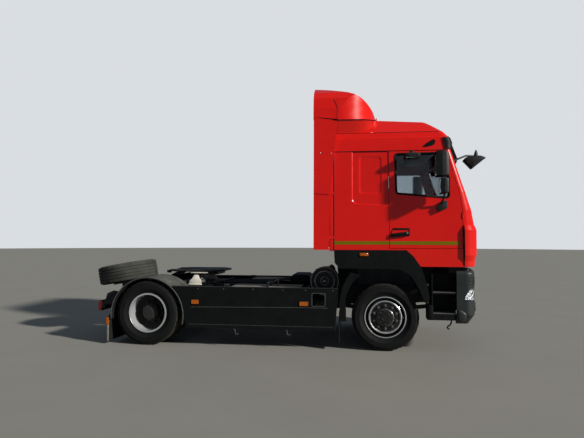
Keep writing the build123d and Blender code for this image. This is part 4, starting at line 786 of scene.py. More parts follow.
def door_mirrors(name, side):
    """Two housings on a post, with a dark rim over each housing's rear half, which also paints the shade on
    that half, and glass.
    """
    body = name + "_door"
    y = side * (half + 0.21)
    shell, rims_and_shade, glass = Shape(), Shape(), Shape()
    for x0, x1, z0, z1 in mirror_places:
        wide, high, middle = mirror_width / 2, (z1 - z0) / 2, (z0 + z1) / 2
        rings = []
        for t, grow in ((0.05, 0.88), (0.0, 0.9), (0.0, 0.97), (0.03, 1.0), (0.45, 1.0), (0.72, 0.975),
                        (0.88, 0.92), (0.96, 0.82), (1.0, 0.62)):
            a, b = wide * grow, high * (0.4 + 0.6 * grow)
            outline = rounded(rectangle(-a, a, -b, b), 0.02, 6)
            rings.append([(x0 + (x1 - x0) * t, y + c, middle + d) for c, d in outline])
        shell.skin(rings)
        # Black rims over each housing's rear half: partly a frame, partly painted shade on that half of the
        # housing.
        rings = []
        x_end = x0 + (x1 - x0) * 0.45
        for x, more in ((x0 + 0.004, 0.0), (x0 + 0.004, 0.0018), (x_end, 0.0018), (x_end, 0.0)):
            a, b = wide + more, high + more
            outline = rounded(rectangle(-a, a, -b, b), 0.02, 6)
            rings.append([(x, y + c, middle + d) for c, d in outline])
        rims_and_shade.skin(rings, closed=True)
        a, b = wide * 0.87, high * 0.89
        outline = rounded(rectangle(-a, a, -b, b), 0.016, 6)
        rings = [[(x0 + 0.004 - sink, y + c * share, middle + d * share) for c, d in outline]
                 for sink, share in ((0, 1), (0.003, 0.5), (0.004, 0))]
        glass.sheet(rings, loop=True)
    rims_and_shade.piece("mirror_rims_" + name, body, "mirror_plastic", "black_plastic")
    post_y = side * (half + 0.155)
    shell.tube([(0.80, side * (half + 0.03), 2.12), (0.80, side * (half + 0.06), 2.16),
                (0.81, side * (half + 0.12), 2.22), (0.825, post_y, 2.29), (0.83, post_y, 2.40),
                (0.83, post_y, 2.88)], 0.015, 12)
    shell.tube([(0.83, side * (half - 0.002), 2.89), (0.83, side * (half + 0.06), 2.893),
                (0.83, post_y + side * 0.005, 2.89)], 0.0145, 12)
    shell.lathe([(0, 0.012), (0.03, 0.012), (0.034, 0.008), (0.034, 0)], (0.83, side * (half - 0.001), 2.89),
                (0, side, 0), 24)
    bracket = rounded([(0.722, 2.086), (0.79, 2.168), (0.868, 2.18), (0.872, 2.07), (0.75, 2.022)], 0.014, 4)
    shell.plate(bracket, "y", side * (half - 0.001), side * (half + 0.052), 0.007)
    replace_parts(shell.piece("mirror_shells_" + name, body, "mirror_plastic"), "mirrors_" + name)
    glass.piece("mirror_glasses_" + name, body, "mirror_plastic", "mirror_glass")


def kerb_mirror():
    """A shell over the right door that looks down, on a short arm."""
    middle = (0.3875, -1.345)
    outline = rounded(rectangle(0.278, 0.497, -1.425, -1.265), 0.05, 6)
    shell = Shape().skin([[(x, y, 2.862 - 0.06 * t) for x, y in grown(outline, middle, share)] for t, share in
                          ((0.0, 0.55), (0.12, 0.85), (0.35, 1.0), (0.7, 1.0), (1.0, 0.93))])
    shell.tube([(0.3875, -1.244, 2.885), (0.3875, -1.30, 2.888), (0.3875, -1.335, 2.87),
                (0.3875, -1.34, 2.85)], 0.014, 12)
    shell.lathe([(0, 0.01), (0.028, 0.01), (0.032, 0.006), (0.032, 0)], (0.3875, -1.244, 2.885),
                (0, -1, 0), 24)
    shell.piece("kerb_mirror", "right_door", "mirror_plastic")
    outline = rounded(rectangle(0.29, 0.485, -1.413, -1.277), 0.045, 6)
    inner = [(x, y, 2.799) for x, y in grown(outline, middle, 0.5)]
    glass = Shape().sheet([[(x, y, 2.8015) for x, y in outline], inner], loop=True).face(inner)
    glass.piece("kerb_mirror_glass", "right_door", "mirror_plastic", "mirror_glass")


def front_mirror():
    """A shell on a bent arm from the right pillar."""
    outline = rounded([(1.162, 2.804), (1.2, 2.845), (1.25, 2.864), (1.344, 2.876), (1.428, 2.871),
                       (1.5, 2.838), (1.455, 2.808), (1.284, 2.668)], 0.012, 4)
    shell = Shape().skin([[(x, y, z) for x, z in grown(outline, (1.32, 2.79), share)] for y, share in
                          ((-0.8005, 0.35), (-0.815, 0.8), (-0.85, 0.98), (-0.93, 1.0), (-0.983, 0.85),
                           (-0.9995, 0.4))])
    shell.tube([(0.93, -1.09, 2.74), (1.05, -1.06, 2.80), (1.2, -0.98, 2.865), (1.30, -0.92, 2.87),
                (1.38, -0.89, 2.85)], 0.014, 12)
    shell.tube([(1.358, -0.9, 2.85), (1.358, -0.9, 2.9), (1.36, -0.9, 2.96)], [0.036, 0.03, 0.01], 12)
    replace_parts(shell.piece("front_mirror_shell", "cab", "mirror_plastic"), "front_mirror")


for name, side in sides:
    door_mirrors(name, side)
kerb_mirror()
front_mirror()

# Bumper, lamps and steps: the bumper's corner is an arc, and its face a wider one
corner_centre = (1.12, 1.101)
corner_radius = 0.144
face_radius = 4.654
face_centre_x = -3.254
lamp_rows = ((0.772, 1.107), (0.80, 1.115), (0.832, 1.123), (0.868, 1.145), (0.9, 1.164), (0.921, 1.2))
lamp_columns = 26


def bumper_x(y, out=0.0):
    return face_centre_x + ((face_radius + out) ** 2 - y * y) ** 0.5


def bumper_line(out, from_x, to_y, steps=10):
    """The left bumper outline from above, from from_x round the corner to to_y, moved outwards by out."""
    points = [(from_x, half + out)] if from_x < corner_centre[0] else []
    r = corner_radius + out
    for a in even(90, 9.5, steps + 1):
        points.append((corner_centre[0] + r * cos(radians(a)), corner_centre[1] + r * sin(radians(a))))
    points += [(bumper_x(y, out), y) for y in even(1.125, to_y, 2 * steps + 1)[1:]]
    return [p for p in points if p[0] >= from_x - 0.0001]


def spread(points, count):
    """Evenly spaced points along a path in a plane."""
    reach = [0.0]
    for p, q in zip(points, points[1:]):
        reach.append(reach[-1] + hypot(q[0] - p[0], q[1] - p[1]))
    made = []
    i = 0
    for target in even(0, reach[-1], count):
        while i < len(points) - 2 and reach[i + 1] < target:
            i += 1
        t = (target - reach[i]) / (reach[i + 1] - reach[i])
        made.append(tuple(a + (b - a) * t for a, b in zip(points[i], points[i + 1])))
    return made


def front_lamps(name, side):
    """Facets and bowls behind the headlamp's glass, and the fog lamp."""
    rows = []
    for row, (z, from_x) in enumerate(lamp_rows):
        points = []
        for column, (x, y) in enumerate(spread(bumper_line(-0.034, from_x, 0.84), lamp_columns)):
            sink = 0.014 * ((row * 3 + column * 5) % 4) / 3
            if y < 1.09 and 0 < row < 5:
                sink += 0.034
            points.append((x - sink * 0.8, side * (y - sink * 0.6), z))
        rows.append(points)
    Shape().sheet(rows).piece("headlamp_facets_" + name, "chassis", "lamp_glass", "reflector", sharp=3)
    out = (1, side * 0.2, 0)
    bowls = Shape()
    for y, r in ((1.01, 0.056), (0.9, 0.05)):
        bowls.lathe([(r + 0.004, -0.036), (r, -0.034), (r * 0.86, -0.062), (r * 0.5, -0.08), (0.012, -0.086),
                     (0.012, -0.064), (0.009, -0.055), (0, -0.053)], (bumper_x(y), side * y, 0.846), out, 32)
    bowls.piece("headlamp_bowls_" + name, "chassis", "lamp_glass", "reflector")
    fog = (bumper_x(0.93), side * 0.93, 0.64)
    rim = Shape().lathe([(0.0535, -0.02), (0.0535, 0.008), (0.058, 0.011), (0.067, 0.008), (0.073, -0.004)],
                        fog, out, 48)
    rim.piece("fog_lamp_rim_" + name, "chassis", "black_plastic")
    bowl = Shape().lathe([(0.053, -0.036), (0.046, -0.052), (0.026, -0.066), (0.01, -0.068), (0.01, -0.05),
                          (0, -0.046)], fog, out, 32)
    bowl.piece("fog_lamp_bowl_" + name, "chassis", "lamp_glass", "reflector")


def bumper_trims():
    """Beads and ribs, bulges at the corners, the blank plate, and the slots' backs."""
    trims = Shape()
    for z, from_x in ((0.984, 1.152), (1.034, 1.156), (1.082, 1.15)):
        trims.tube([(x, y, z) for x, y in bumper_line(0.0005, from_x, 0.9)], 0.0045, 6)
    for x, y in bumper_line(0.0, 1.16, 1.02)[1::3]:
        trims.tube([(x, y, 0.984), (x, y, 1.082)], 0.003, 6)
    trims.piece("bumper_trims", "chassis", "bumper_plastic", "black_plastic", mirror=True)
    swell = rounded([(1.004, 0.481), (0.999, 0.56), (1.001, 0.612), (1.022, 0.632), (1.052, 0.628),
                     (1.098, 0.6), (1.124, 0.566), (1.13, 0.5), (1.1, 0.46), (1.06, 0.444),
                     (1.022, 0.452)], 0.02, 3)
    bulge = Shape().skin([[(x, half + depth, z) for x, z in grown(swell, (1.058, 0.545), share)]
                          for share, depth in ((1.0, -0.002), (0.97, 0.004), (0.88, 0.010),
                                               (0.7, 0.0145), (0.45, 0.0175), (0.2, 0.019))])
    bulge.piece("bumper_bulges", "chassis", "bumper_plastic", mirror=True)
    fitting = Shape().lathe([(0, 0.03), (0.009, 0.03), (0.012, 0.024), (0.012, 0.006), (0.02, 0.004),
                             (0.021, 0)], (1.169, 1.12, 1.1775), (0, 0, 1), 20)
    fitting.piece("bumper_fittings", "chassis", "bumper_plastic", "dull_steel", mirror=True)
    holder = Shape().block((1.396, -0.268, 0.582), (1.4015, 0.268, 0.712), 0.003)
    holder.piece("front_plate_holder", "chassis", "black_plastic")
    blank = Shape().block((1.4012, -0.26, 0.592), (1.4035, 0.26, 0.704), 0.001)
    blank.piece("front_plate_blank", "chassis", "bumper_plastic", "plate_blank")
    backs = Shape()
    for z in (0.955, 1.04):
        backs.sheet([[(bumper_x(y, -0.04), y, z + dz) for dz in (-0.024, 0.024)]
                     for y in even(-0.57, 0.57, 21)])
    backs.piece("bumper_slot_backs", "chassis", "black_plastic")


def cab_steps():
    """Raised treads on both steps, a hook and foot caps."""
    treads = Shape()
    for z in (0.568, 0.868):
        treads.block((0.668, -1.2335, z - 0.001), (0.99, -1.0, z + 0.003), 0.001)
        for x in even(0.682, 0.972, 11):
            for y in even(-1.213, -1.033, 6):
                treads.lathe([(0.009, 0.0), (0.009, 0.003), (0.006, 0.006), (0.006, 0.001), (0, 0.001)],
                             (x, y, z + 0.003), (0, 0, 1), 8)
        treads.tube([(0.67, -1.232, z + 0.001), (0.988, -1.232, z + 0.001)], 0.0055, 8)
    # The treads' dark dull steel is partly painted shade, for the shade they lie in under the cab.
    treads.piece("step_treads", "chassis", "frame_paint", "dull_steel", mirror=True)
    hook = Shape().tube([(0.935, -1.15, 0.48), (0.93, -1.16, 0.43), (0.91, -1.165, 0.40),
                         (0.885, -1.165, 0.385), (0.872, -1.165, 0.365), (0.885, -1.165, 0.345),
                         (0.905, -1.165, 0.352)], 0.011)
    hook.piece("step_hook", "chassis", "frame_paint", mirror=True)
    cap = rounded([(0.598, 0.52), (0.62, 0.486), (0.665, 0.48), (0.672, 0.5), (0.668, 0.665), (0.65, 0.686),
                   (0.612, 0.69)], 0.012, 3)
    caps = Shape().plate(cap, "y", 1.2345, 1.246, 0.004)
    caps.piece("step_foot_caps", "chassis", "black_plastic", mirror=True)


for name, side in sides:
    front_lamps(name, side)
bumper_trims()
cab_steps()


def fifth_wheel():
    """Wear ring, edge bars, release handle, and the white brackets on the rails."""
    ring = Shape().sheet([[(-3.07 + r * cos(a), r * sin(a), 1.1055) for r in (0.05, 0.2)]
                          for a in even(radians(-150), radians(150), 41)])
    ring.piece("fifth_wheel_wear_ring", "fifth_wheel", "fifth_iron", "dull_steel")
    details = Shape()
    for side in (1, -1):
        for x in (-3.4, -3.0):
            for y in (0.36, 0.29):
                details.block((x, side * y, 1.1045), (x + 0.2, side * (y + 0.03), 1.107), 0.001)
        for x in (-3.115, -3.025):
            details.nut((x, side * 0.41, 1.035), (0, side, 0), 0.03, 0.006)
        details.lathe([(0, 0.006), (0.024, 0.006), (0.03, 0.003), (0.031, 0)], (-3.07, side * 0.41, 1.0),
                      (0, side, 0), 24)
        details.plate([(-3.6, side * 0.298), (-3.665, side * 0.27), (-3.66, side * 0.225),
                       (-3.6, side * 0.21)], "z", 1.045, 1.09, 0.004)
        details.tube([(-3.595, side * 0.31, 1.088), (-3.42, side * 0.455, 1.088),
                      (-2.82, side * 0.455, 1.088), (-2.66, side * 0.25, 1.088)], 0.012, 8)
    details.tube([(-2.78, -0.2, 1.048), (-2.78, -0.43, 1.05), (-2.79, -0.475, 1.046),
                  (-2.84, -0.482, 1.04), (-2.87, -0.475, 1.04)], 0.009, 8)
    details.block((-2.9, -0.06, 1.018), (-2.77, 0.06, 1.036))
    details.piece("fifth_wheel_details", "fifth_wheel", "fifth_iron")
    bars = Shape().block((-3.18, -0.4545, 1.052), (-2.885, -0.4455, 1.0745), 0.003)
    bars.piece("fifth_wheel_edge_bars", "fifth_wheel", "fifth_iron", "primer_white", mirror=True)
    foot = rounded([(-3.215, 0.858), (-3.0, 0.858), (-3.004, 0.935), (-3.028, 0.955), (-3.045, 1.0),
                    (-3.058, 1.022), (-3.122, 1.022), (-3.135, 1.0), (-3.165, 0.955),
                    (-3.198, 0.93)], 0.01, 3)
    brackets = Shape().plate(foot, "y", -0.4385, -0.4255, 0.003)
    brackets.plate(rounded(rectangle(-3.225, -2.99, 0.853, 0.872), 0.004, 2), "y", -0.446, -0.438, 0.002)
    brackets.piece("fifth_wheel_brackets", "chassis", "primer_white", mirror=True)
    bolts = Shape()
    for x in (-3.4, -3.3, -2.88, -2.78):
        for y in (-0.4, -0.37):
            bolts.nut((x, y, 0.9), (0, 0, 1), 0.024, 0.012)
    bolts.piece("fifth_wheel_bolts", "chassis", "fifth_iron", "dull_steel", mirror=True)


def decks():
    """Chequered decks over the skirts' bars, with their end caps and a stand."""
    deck = Shape().block((-2.36, -1.146, 0.8785), (-1.27, -0.452, 0.8865), 0.002)
    for k in range(21):
        for m in range(10):
            x, y = -2.33 + k * 0.051, -1.12 + m * 0.07
            deck.block((x, y, 0.886), (x + 0.028, y + 0.007, 0.889), 0.001, 1)
    deck.piece("frame_decks", "chassis", "frame_paint", "dusty_deck", mirror=True)
    caps = Shape().tube([(-2.45, -1.0, 0.895), (-2.37, -1.0, 0.897)], 0.034, 16)
    caps.block((-2.44, -1.03, 0.875), (-2.38, -0.97, 0.892), 0.003)
    caps.piece("deck_end_caps", "chassis", "black_metal", mirror=True)
    stand = Shape().block((-1.79, -0.95, 0.886), (-1.765, -0.62, 0.955), 0.003)
    stand.plate([(-1.79, 0.935), (-1.66, 0.995), (-1.61, 1.0), (-1.61, 0.985), (-1.765, 0.92)], "y",
                -0.9, -0.85, 0.003)
    stand.tube([(-1.625, -0.875, 0.99), (-1.625, -0.875, 0.886)], 0.012)
    stand.piece("deck_stand", "chassis", "frame_paint", "black_metal")


def frame_fittings():
    """A valve box, the pipes from it, and the rails' bolts."""
    ports = (-0.27, -0.09, 0.09, 0.27)
    port_z = 0.96
    box = Shape().block((-1.5, -0.385, 0.8805), (-1.19, 0.385, 1.02), 0.02, 3)
    box.block((-1.47, -0.36, 1.015), (-1.22, 0.36, 1.04), 0.012)
    for y in ports:
        box.lathe([(0, 0.03), (0.016, 0.03), (0.016, 0.008), (0.028, 0.006), (0.028, 0)], (-1.5, y, port_z),
                  (-1, 0, 0), 16)
    box.piece("valve_box", "chassis", "black_plastic")
    pipes = Shape()
    for y, r in zip(ports, (0.011, 0.011, 0.011, 0.016)):
        pipes.tube([(-1.5, y, port_z), (-1.6, y, port_z - 0.008), (-1.72, y, 0.925), (-1.9, y, 0.898),
                    (-2.68, y, 0.893)], r)
        for x in (-2.0, -2.35, -2.66):
            pipes.block((x - 0.012, y - r - 0.006, 0.868), (x + 0.012, y + r + 0.006, 0.896 + r), 0.002)
    pipes.piece("frame_pipes", "chassis", "hose_black")
    bolts = Shape()
    rail_face = -0.425
    for k in range(27):
        for z in (0.835, 0.675):
            bolts.lathe([(0, 0.011), (0.009, 0.011), (0.012, 0.008), (0.012, 0.002), (0.018, 0.002),
                         (0.018, 0)], (-4.32 + 0.2 * k, rail_face, z), (0, -1, 0), 8)
    for x in (-4.0, -2.35, -1.45, 1.02):
        for z in (0.705, 0.755, 0.805):
            for dx in (-0.03, 0.03):
                bolts.nut((x + dx, rail_face, z), (0, -1, 0), 0.022, 0.012)
    bolts.piece("frame_bolts", "chassis", "frame_paint", mirror=True)


fifth_wheel()
decks()
frame_fittings()


# Beside the frame
def rear_guards():
    """Edges and stays of the guards, with the edges lighter as a painted highlight; flap strips painted light
    as the flaps' sunlit edges; lamp housings and the number plate's place.
    """
    arc = [(-3.6 + 0.576 * cos(radians(a)), 0.455 + 0.576 * sin(radians(a))) for a in range(-12, 187, 6)]
    edges = Shape()
    for y in (-1.255, -0.578):
        edges.tube([(x, y, z) for x, z in arc], 0.0085, 8)
    edges.piece("guard_edges", "chassis", "guard_plastic", "edge_grey", mirror=True)
    stay = rounded([(-4.09, 0.80), (-4.2, 0.815), (-4.3, 0.77), (-4.325, 0.68), (-4.385, 0.61),
                    (-4.385, 0.59), (-4.31, 0.59), (-4.2, 0.64), (-4.13, 0.66)], 0.012, 2)
    stays = Shape().plate(stay, "y", -1.145, -1.13, 0.003)
    stays.block((-4.33, -1.14, 0.598), (-4.16, -1.1, 0.612), 0.003)
    stays.block((-4.215, -1.24, 0.415), (-4.165, -0.65, 0.455))
    for y in (-1.2, -1.05, -0.9, -0.75):
        stays.nut((-4.215, y, 0.435), (-1, 0, 0), 0.022, 0.01)
    stays.piece("guard_stays", "chassis", "frame_paint", "black_metal", mirror=True)
    # A light strip on each flap: painted sunlight on the flap's lit edge.
    strip = Shape().block((-4.249, -1.238, 0.048), (-4.2135, -1.19, 0.302))
    strip.piece("flap_strips", "chassis", "rubber", "dusty_strip", mirror=True)
    shells = Shape().block((-4.422, -1.1465, 0.498), (-4.386, -0.714, 0.657), 0.008)
    for y in (-1.055, -0.945, -0.83, -0.72):
        shells.block((-4.443, y - 0.0035, 0.5), (-4.41, y + 0.0035, 0.655), 0.002)
    shells.piece("rear_lamp_shells", "chassis", "black_plastic", mirror=True)
    holder = Shape().block((-4.402, -0.28, 0.50), (-4.39, 0.28, 0.632))
    for y in (-0.19, 0.19):
        holder.block((-4.425, y - 0.035, 0.632), (-4.39, y + 0.035, 0.652), 0.005)
    holder.piece("rear_plate_holder", "chassis", "black_plastic")
    blank = Shape().block((-4.405, -0.26, 0.508), (-4.4015, 0.26, 0.62), 0.001)
    blank.piece("rear_plate_blank", "chassis", "bumper_plastic", "plate_blank")
    for name, x0, x1 in (("rear", -2.9, -2.776), ("front", -1.254, -1.115)):
        base = Shape().block((x0, -1.2495, 0.638), (x1, -1.2445, 0.712), 0.002)
        base.piece("skirt_lamp_base_" + name, "chassis", "black_plastic", mirror=True)
    base = Shape().block((-4.262, -1.238, 0.295), (-4.2095, -1.158, 0.42), 0.003)
    base.piece("flap_lamp_base", "chassis", "black_plastic", mirror=True)


def skirts():
    """Pressed lines, hatch rim, hooks, edge strips and screws of the side skirts, in a lighter grey that
    paints their highlights.
    """
    lines = Shape().tube([(-2.899, -1.2445, 0.597), (-1.182, -1.2445, 0.618), (-0.829, -1.2445, 0.615)],
                         0.0045, 6)
    lines.tube([(-2.93, -1.2445, 0.34), (-0.76, -1.2445, 0.34)], 0.003, 6)
    hatch = rounded(rectangle(-1.066, -0.872, 0.64, 0.83), 0.02, 4)
    lines.tube([(x, -1.243, z) for x, z in hatch], 0.0055, 6, closed=True)
    for x, z in ((-2.225, 0.264), (-1.437, 0.272)):
        lines.tube([(x + dx, -1.225, z + dz) for dx, dz in
                    ((0, 0.04), (0, -0.03), (0.015, -0.062), (0.04, -0.064), (0.05, -0.045))], 0.008, 8)
        lines.lathe([(0, 0.01), (0.014, 0.008), (0.016, 0)], (x, -1.23, z + 0.012), (0, -1, 0), 12)
    lines.piece("skirt_lines", "chassis", "black_plastic", "edge_grey", mirror=True)
    edges = Shape().tube([(-0.684, -1.241, 0.9), (-0.724, -1.241, 0.3)], 0.004, 6)
    edges.tube([(-3.2, -1.241, 0.904), (-0.684, -1.241, 0.904)], 0.0035, 6)
    for x in (-2.8, -2.4, -1.95, -1.5, -1.16, -0.76):
        edges.lathe([(0, 0.004), (0.006, 0.0035), (0.009, 0)], (x, -1.245, 0.872), (0, -1, 0), 12)
    edges.piece("skirt_edges", "chassis", "black_plastic", "edge_grey", mirror=True)


def air_filter():
    """Rim beads, a raised ring, ribs, clips, the outlet and a wing nut on the filter's cover."""
    middle_x, middle_z = -0.9, 0.985

    def rim(radius, y, count=48):
        return [(middle_x + radius * cos(a), y, middle_z + radius * sin(a)) for a in turns(count)]

    rings = Shape()
    for radius, y, width in ((0.2125, -0.8955, 0.0055), (0.2165, -0.851, 0.005), (0.15, -0.8955, 0.0075),
                             (0.06, -0.8955, 0.005), (0.2055, -0.62, 0.005), (0.2055, -0.56, 0.005)):
        rings.tube(rim(radius, y), width, 6, closed=True)
    rings.piece("air_filter_rings", "chassis", "black_metal", "steel")
    cover = Shape()
    for a in turns(12, 0.5):
        cover.tube([(middle_x + r * cos(a), -0.896, middle_z + r * sin(a)) for r in (0.065, 0.145)], 0.004, 6)
    for a in (0.6, 2.2, 3.8, 5.4):
        spot = at(middle_x + 0.2185 * cos(a), -0.875, middle_z + 0.2185 * sin(a))
        cover.block((-0.011, -0.03, -0.004), (0.011, 0.05, 0.006), 0.003,
                    turn=Matrix.Translation(spot) @ Matrix.Rotation(pi / 2 - a, 4, "Y"))
    cover.tube([(-0.9, -0.44, 1.06), (-0.9, -0.37, 1.08), (-0.86, -0.3, 1.12), (-0.8, -0.26, 1.16)], 0.06, 16)
    cover.piece("air_filter_details", "chassis", "black_metal")
    wing = Shape().lathe([(0, 0.03), (0.01, 0.03), (0.016, 0.02), (0.02, 0.0)], (middle_x, -0.915, middle_z),
                         (0, -1, 0), 16)
    wing.block((-0.935, -0.936, 0.981), (-0.865, -0.928, 0.989), 0.003)
    wing.piece("air_filter_wing_nut", "chassis", "black_metal", "steel")


rear_guards()
skirts()
air_filter()


# More of the cab's outside
def corner_duct_and_shade(name, side):
    """The dark duct behind a corner panel, with its slats. Its black is partly painted shade, standing for
    the shadow the proud panel casts behind it.
    """
    def out(depth):
        return side * (half + depth)

    profile = ((-0.001, 1.252), (0.007, 1.252), (0.013, 1.318), (0.04, 1.401), (0.04, 1.759), (0.012, 1.824),
               (-0.001, 1.824))
    duct = Shape().plate([(out(depth), z) for depth, z in profile], "x", 1.1035, 1.1105)
    for k in range(7):
        z = 1.42 + 0.053 * k
        duct.block((1.098, out(0.001), z), (1.104, out(0.037), z + 0.02), 0.002)
    # This thin black strip on the skin just behind the panel is painted shade, where the panel's shadow
    # falls.
    duct.block((1.0925, out(-0.002), 1.262), (1.1045, out(0.003), 1.83), 0.001)
    duct.piece("corner_duct_" + name, "cab", "black_plastic")


def body_seams():
    """Side lamps, dark seam lines, a black line painted as the shade under the roof's upper ledge, and what
    fills the gaps round the spoiler and behind the cab.
    """
    skin = -half
    base = Shape().block((-0.374, skin - 0.0155, 1.377), (-0.237, skin - 0.021, 1.432), 0.002)
    base.piece("side_lamp_bases", "cab", "black_plastic", mirror=True)
    lamp = Shape().block((-0.368, skin - 0.0205, 1.382), (-0.243, skin - 0.034, 1.427), 0.006)
    lamp.piece("side_lamps", "cab", "amber_lens", mirror=True)
    base_line = ((-0.735, 1.2), (-0.45, 1.2), (-0.3, 1.182), (-0.2, 1.14), (-0.13, 1.08))
    seams_and_shade_line = Shape()
    for path, radius in (
            ([(-0.735, skin, 2.914), (0.86, skin, 2.914)], 0.0055),
            ([(-0.738, skin + 0.0125, 3.035), (-0.738, skin - 0.001, 2.914),
              (-0.738, skin - 0.001, 1.46)], 0.004),
            ([(-0.69, -1.2105, 3.408), (-0.69, -1.2105, 3.74)], 0.0035),
            ([(-1.036, -1.2105, 3.447), (-0.69, -1.2105, 3.408)], 0.006),
            ([(x, -y - 0.004, 3.4) for x, y in base_line], 0.006),
            # Not a seam: a black tube painted as the shade under the roof's upper ledge.
            ([(-0.735, skin + 0.0675, 3.1985), (0.77, skin + 0.0675, 3.1985)], 0.0035)):
        seams_and_shade_line.tube(path, radius, 6)
    seams_and_shade_line.piece("body_seams", "cab", "black_plastic", mirror=True)
    rows = ((-0.739, 1.152, 3.213, 1.2), (-0.45, 1.152, 3.213, 1.2), (-0.3, 1.13, 3.238, 1.182),
            (-0.2, 1.095, 3.276, 1.14), (-0.13, 1.03, 3.346, 1.08), (-0.1, 0.985, 3.388, 1.03))
    lip = Shape().skin([[(x, -low_y, low_z), (x, -top_y, 3.402), (x, -0.985, 3.402),
                         (x, -low_y + 0.095, low_z + 0.1)] for x, low_y, low_z, top_y in rows])
    lip.piece("spoiler_lips", "cab", "cab_red", mirror=True)
    strip = Shape().block((-0.81, skin + 0.002, 1.452), (-0.7405, skin + 0.05, 3.1), 0.012)
    strip.piece("rear_corner_strips", "cab", "cab_red", mirror=True)
    liner = Shape().block((-0.7, -0.775, 0.95), (-0.4, -0.765, 1.25), 0.003)
    liner.block((-0.69, -1.2, 1.15), (-0.672, -0.77, 1.25), 0.003)
    liner.piece("guard_liners", "chassis", "guard_plastic", mirror=True)


def cab_back():
    """Ribs and a grab rail, hose couplings on a bracket, and a work lamp."""
    ribs = Shape()
    for y in even(-1.0, 1.0, 9):
        ribs.block((-0.752, y - 0.018, 1.5), (-0.7405, y + 0.018, 2.9))
    ribs.tube([(-0.7405, 0.93, 1.6), (-0.79, 0.93, 1.62), (-0.79, 0.93, 2.38), (-0.7405, 0.93, 2.4)], 0.013)
    ribs.piece("cab_back_ribs", "cab", "cab_red")
    bracket = Shape().block((-0.77, -0.35, 1.46), (-0.7405, 0.35, 1.56), 0.008)
    for y in even(-0.28, 0.28, 5):
        bracket.lathe([(0.032, 0), (0.032, 0.03), (0.024, 0.034), (0.024, 0.055), (0.03, 0.058),
                       (0.03, 0.066), (0, 0.066)], (-0.77, y, 1.51), (-1, 0, 0), 20)
    bracket.block((-0.79, 0.5, 2.62), (-0.7405, 0.66, 2.72), 0.01)
    bracket.piece("coupling_bracket", "cab", "black_plastic")
    lamp = Shape().lathe([(0.06, 0), (0.06, 0.022), (0.045, 0.03), (0, 0.034)], (-0.789, 0.58, 2.67),
                         (-1, 0, -0.3), 32)
    lamp.piece("work_lamp", "cab", "lamp_glass", "reflector")


def visor_ends():
    """The sun visor's ends, which wrap round the roof's front corners.

    A row gives z, half width, the bend's x and radius, the rear x, and the x where the visor begins."""
    heights = ((2.93, 1.245, 0.872, 0.0715, 0.862, 1.012), (3.03, 1.234, 0.878, 0.0745, 0.837, 0.975),
               (3.1, 1.2245, 0.852, 0.076, 0.822, 0.946))
    inside, outside = 0.008, 0.016
    section = [(inside, row) for row in heights] + [(outside, row) for row in heights[::-1]]
    rings = [[(rear_x, -w - thick, z) for thick, (z, w, _, _, rear_x, _) in section],
             [(bend_x, -w - thick, z) for thick, (z, w, bend_x, _, _, _) in section]]
    for turn in even(-90 + 14, -90 + 112, 8):
        a = radians(turn)
        rings.append([(bend_x + (r + thick) * cos(a), -w + r + (r + thick) * sin(a), z)
                      for thick, (z, w, bend_x, r, _, _) in section])
    rings.append([(visor_x + thick - outside, -1.057, z) for thick, (z, _, _, _, _, visor_x) in section])
    Shape().skin(rings).piece("visor_ends", "cab", "visor_plastic", "black_plastic", mirror=True, sharp=40)


for name, side in sides:
    corner_duct_and_shade(name, side)
body_seams()
cab_back()
visor_ends()


# Under the cab and the frame
def engine_top():
    """Valve covers, pipes, pulleys and ribs, which show when the cab tilts."""
    engine = Shape()
    for x in even(-0.2, 0.575, 6):
        engine.block((x - 0.066, -0.16, 1.268), (x + 0.066, 0.12, 1.345), 0.014, 3)
        for y in (-0.14, 0.1):
            engine.nut((x, y, 1.345), (0, 0, 1), 0.022, 0.01)
        engine.tube([(x, 0.12, 1.3), (x, 0.2, 1.31), (x, 0.25, 1.28)], 0.024, 12)
    engine.tube([(-0.3, 0.26, 1.27), (0.7, 0.26, 1.27)], 0.045, 16)
    engine.tube([(0.7, 0.26, 1.27), (0.78, 0.24, 1.26), (0.83, 0.16, 1.2), (0.83, 0.05, 1.16)], 0.04, 16)
    engine.lathe([(0, 0.035), (0.03, 0.035), (0.034, 0.03), (0.034, 0)], (0.62, -0.24, 1.27), (0, 0, 1), 20)
    for y, z, r in ((0.0, 0.95, 0.15), (0.0, 0.72, 0.1), (0.2, 1.1, 0.07)):
        engine.lathe([(0, 0.05), (r * 0.3, 0.05), (r * 0.35, 0.035), (r * 0.85, 0.03), (r, 0.04), (r, 0.01),
                      (r * 0.6, 0)], (0.779, y, z), (1, 0, 0), 40)
    for side in (1, -1):
        for x in even(-0.3, 0.7, 5):
            engine.block((x - 0.012, side * 0.318, 0.7), (x + 0.012, side * 0.33, 1.22), 0.003)
        for z0, z1 in ((1.14, 1.17), (0.84, 0.86)):
            engine.block((-0.38, side * 0.318, z0), (0.75, side * 0.332, z1))
    engine.piece("engine_details", "chassis", "engine_paint")


def spring_bolts():
    """The U-bolts' legs, which clamp the springs to the axles."""
    bolts = Shape()
    for axle_x, spring_y, z0, z1 in ((0.0, 0.385, 0.4, 0.64), (rear_axle_x, 0.487, 0.36, 0.66)):
        for side in (1, -1):
            for x in (axle_x - 0.09, axle_x + 0.09):
                for y in (side * spring_y - 0.05, side * spring_y + 0.05):
                    bolts.tube([(x, y, z0), (x, y, z1)], 0.01, 8)
    bolts.piece("spring_bolts", "chassis", "spring_steel")


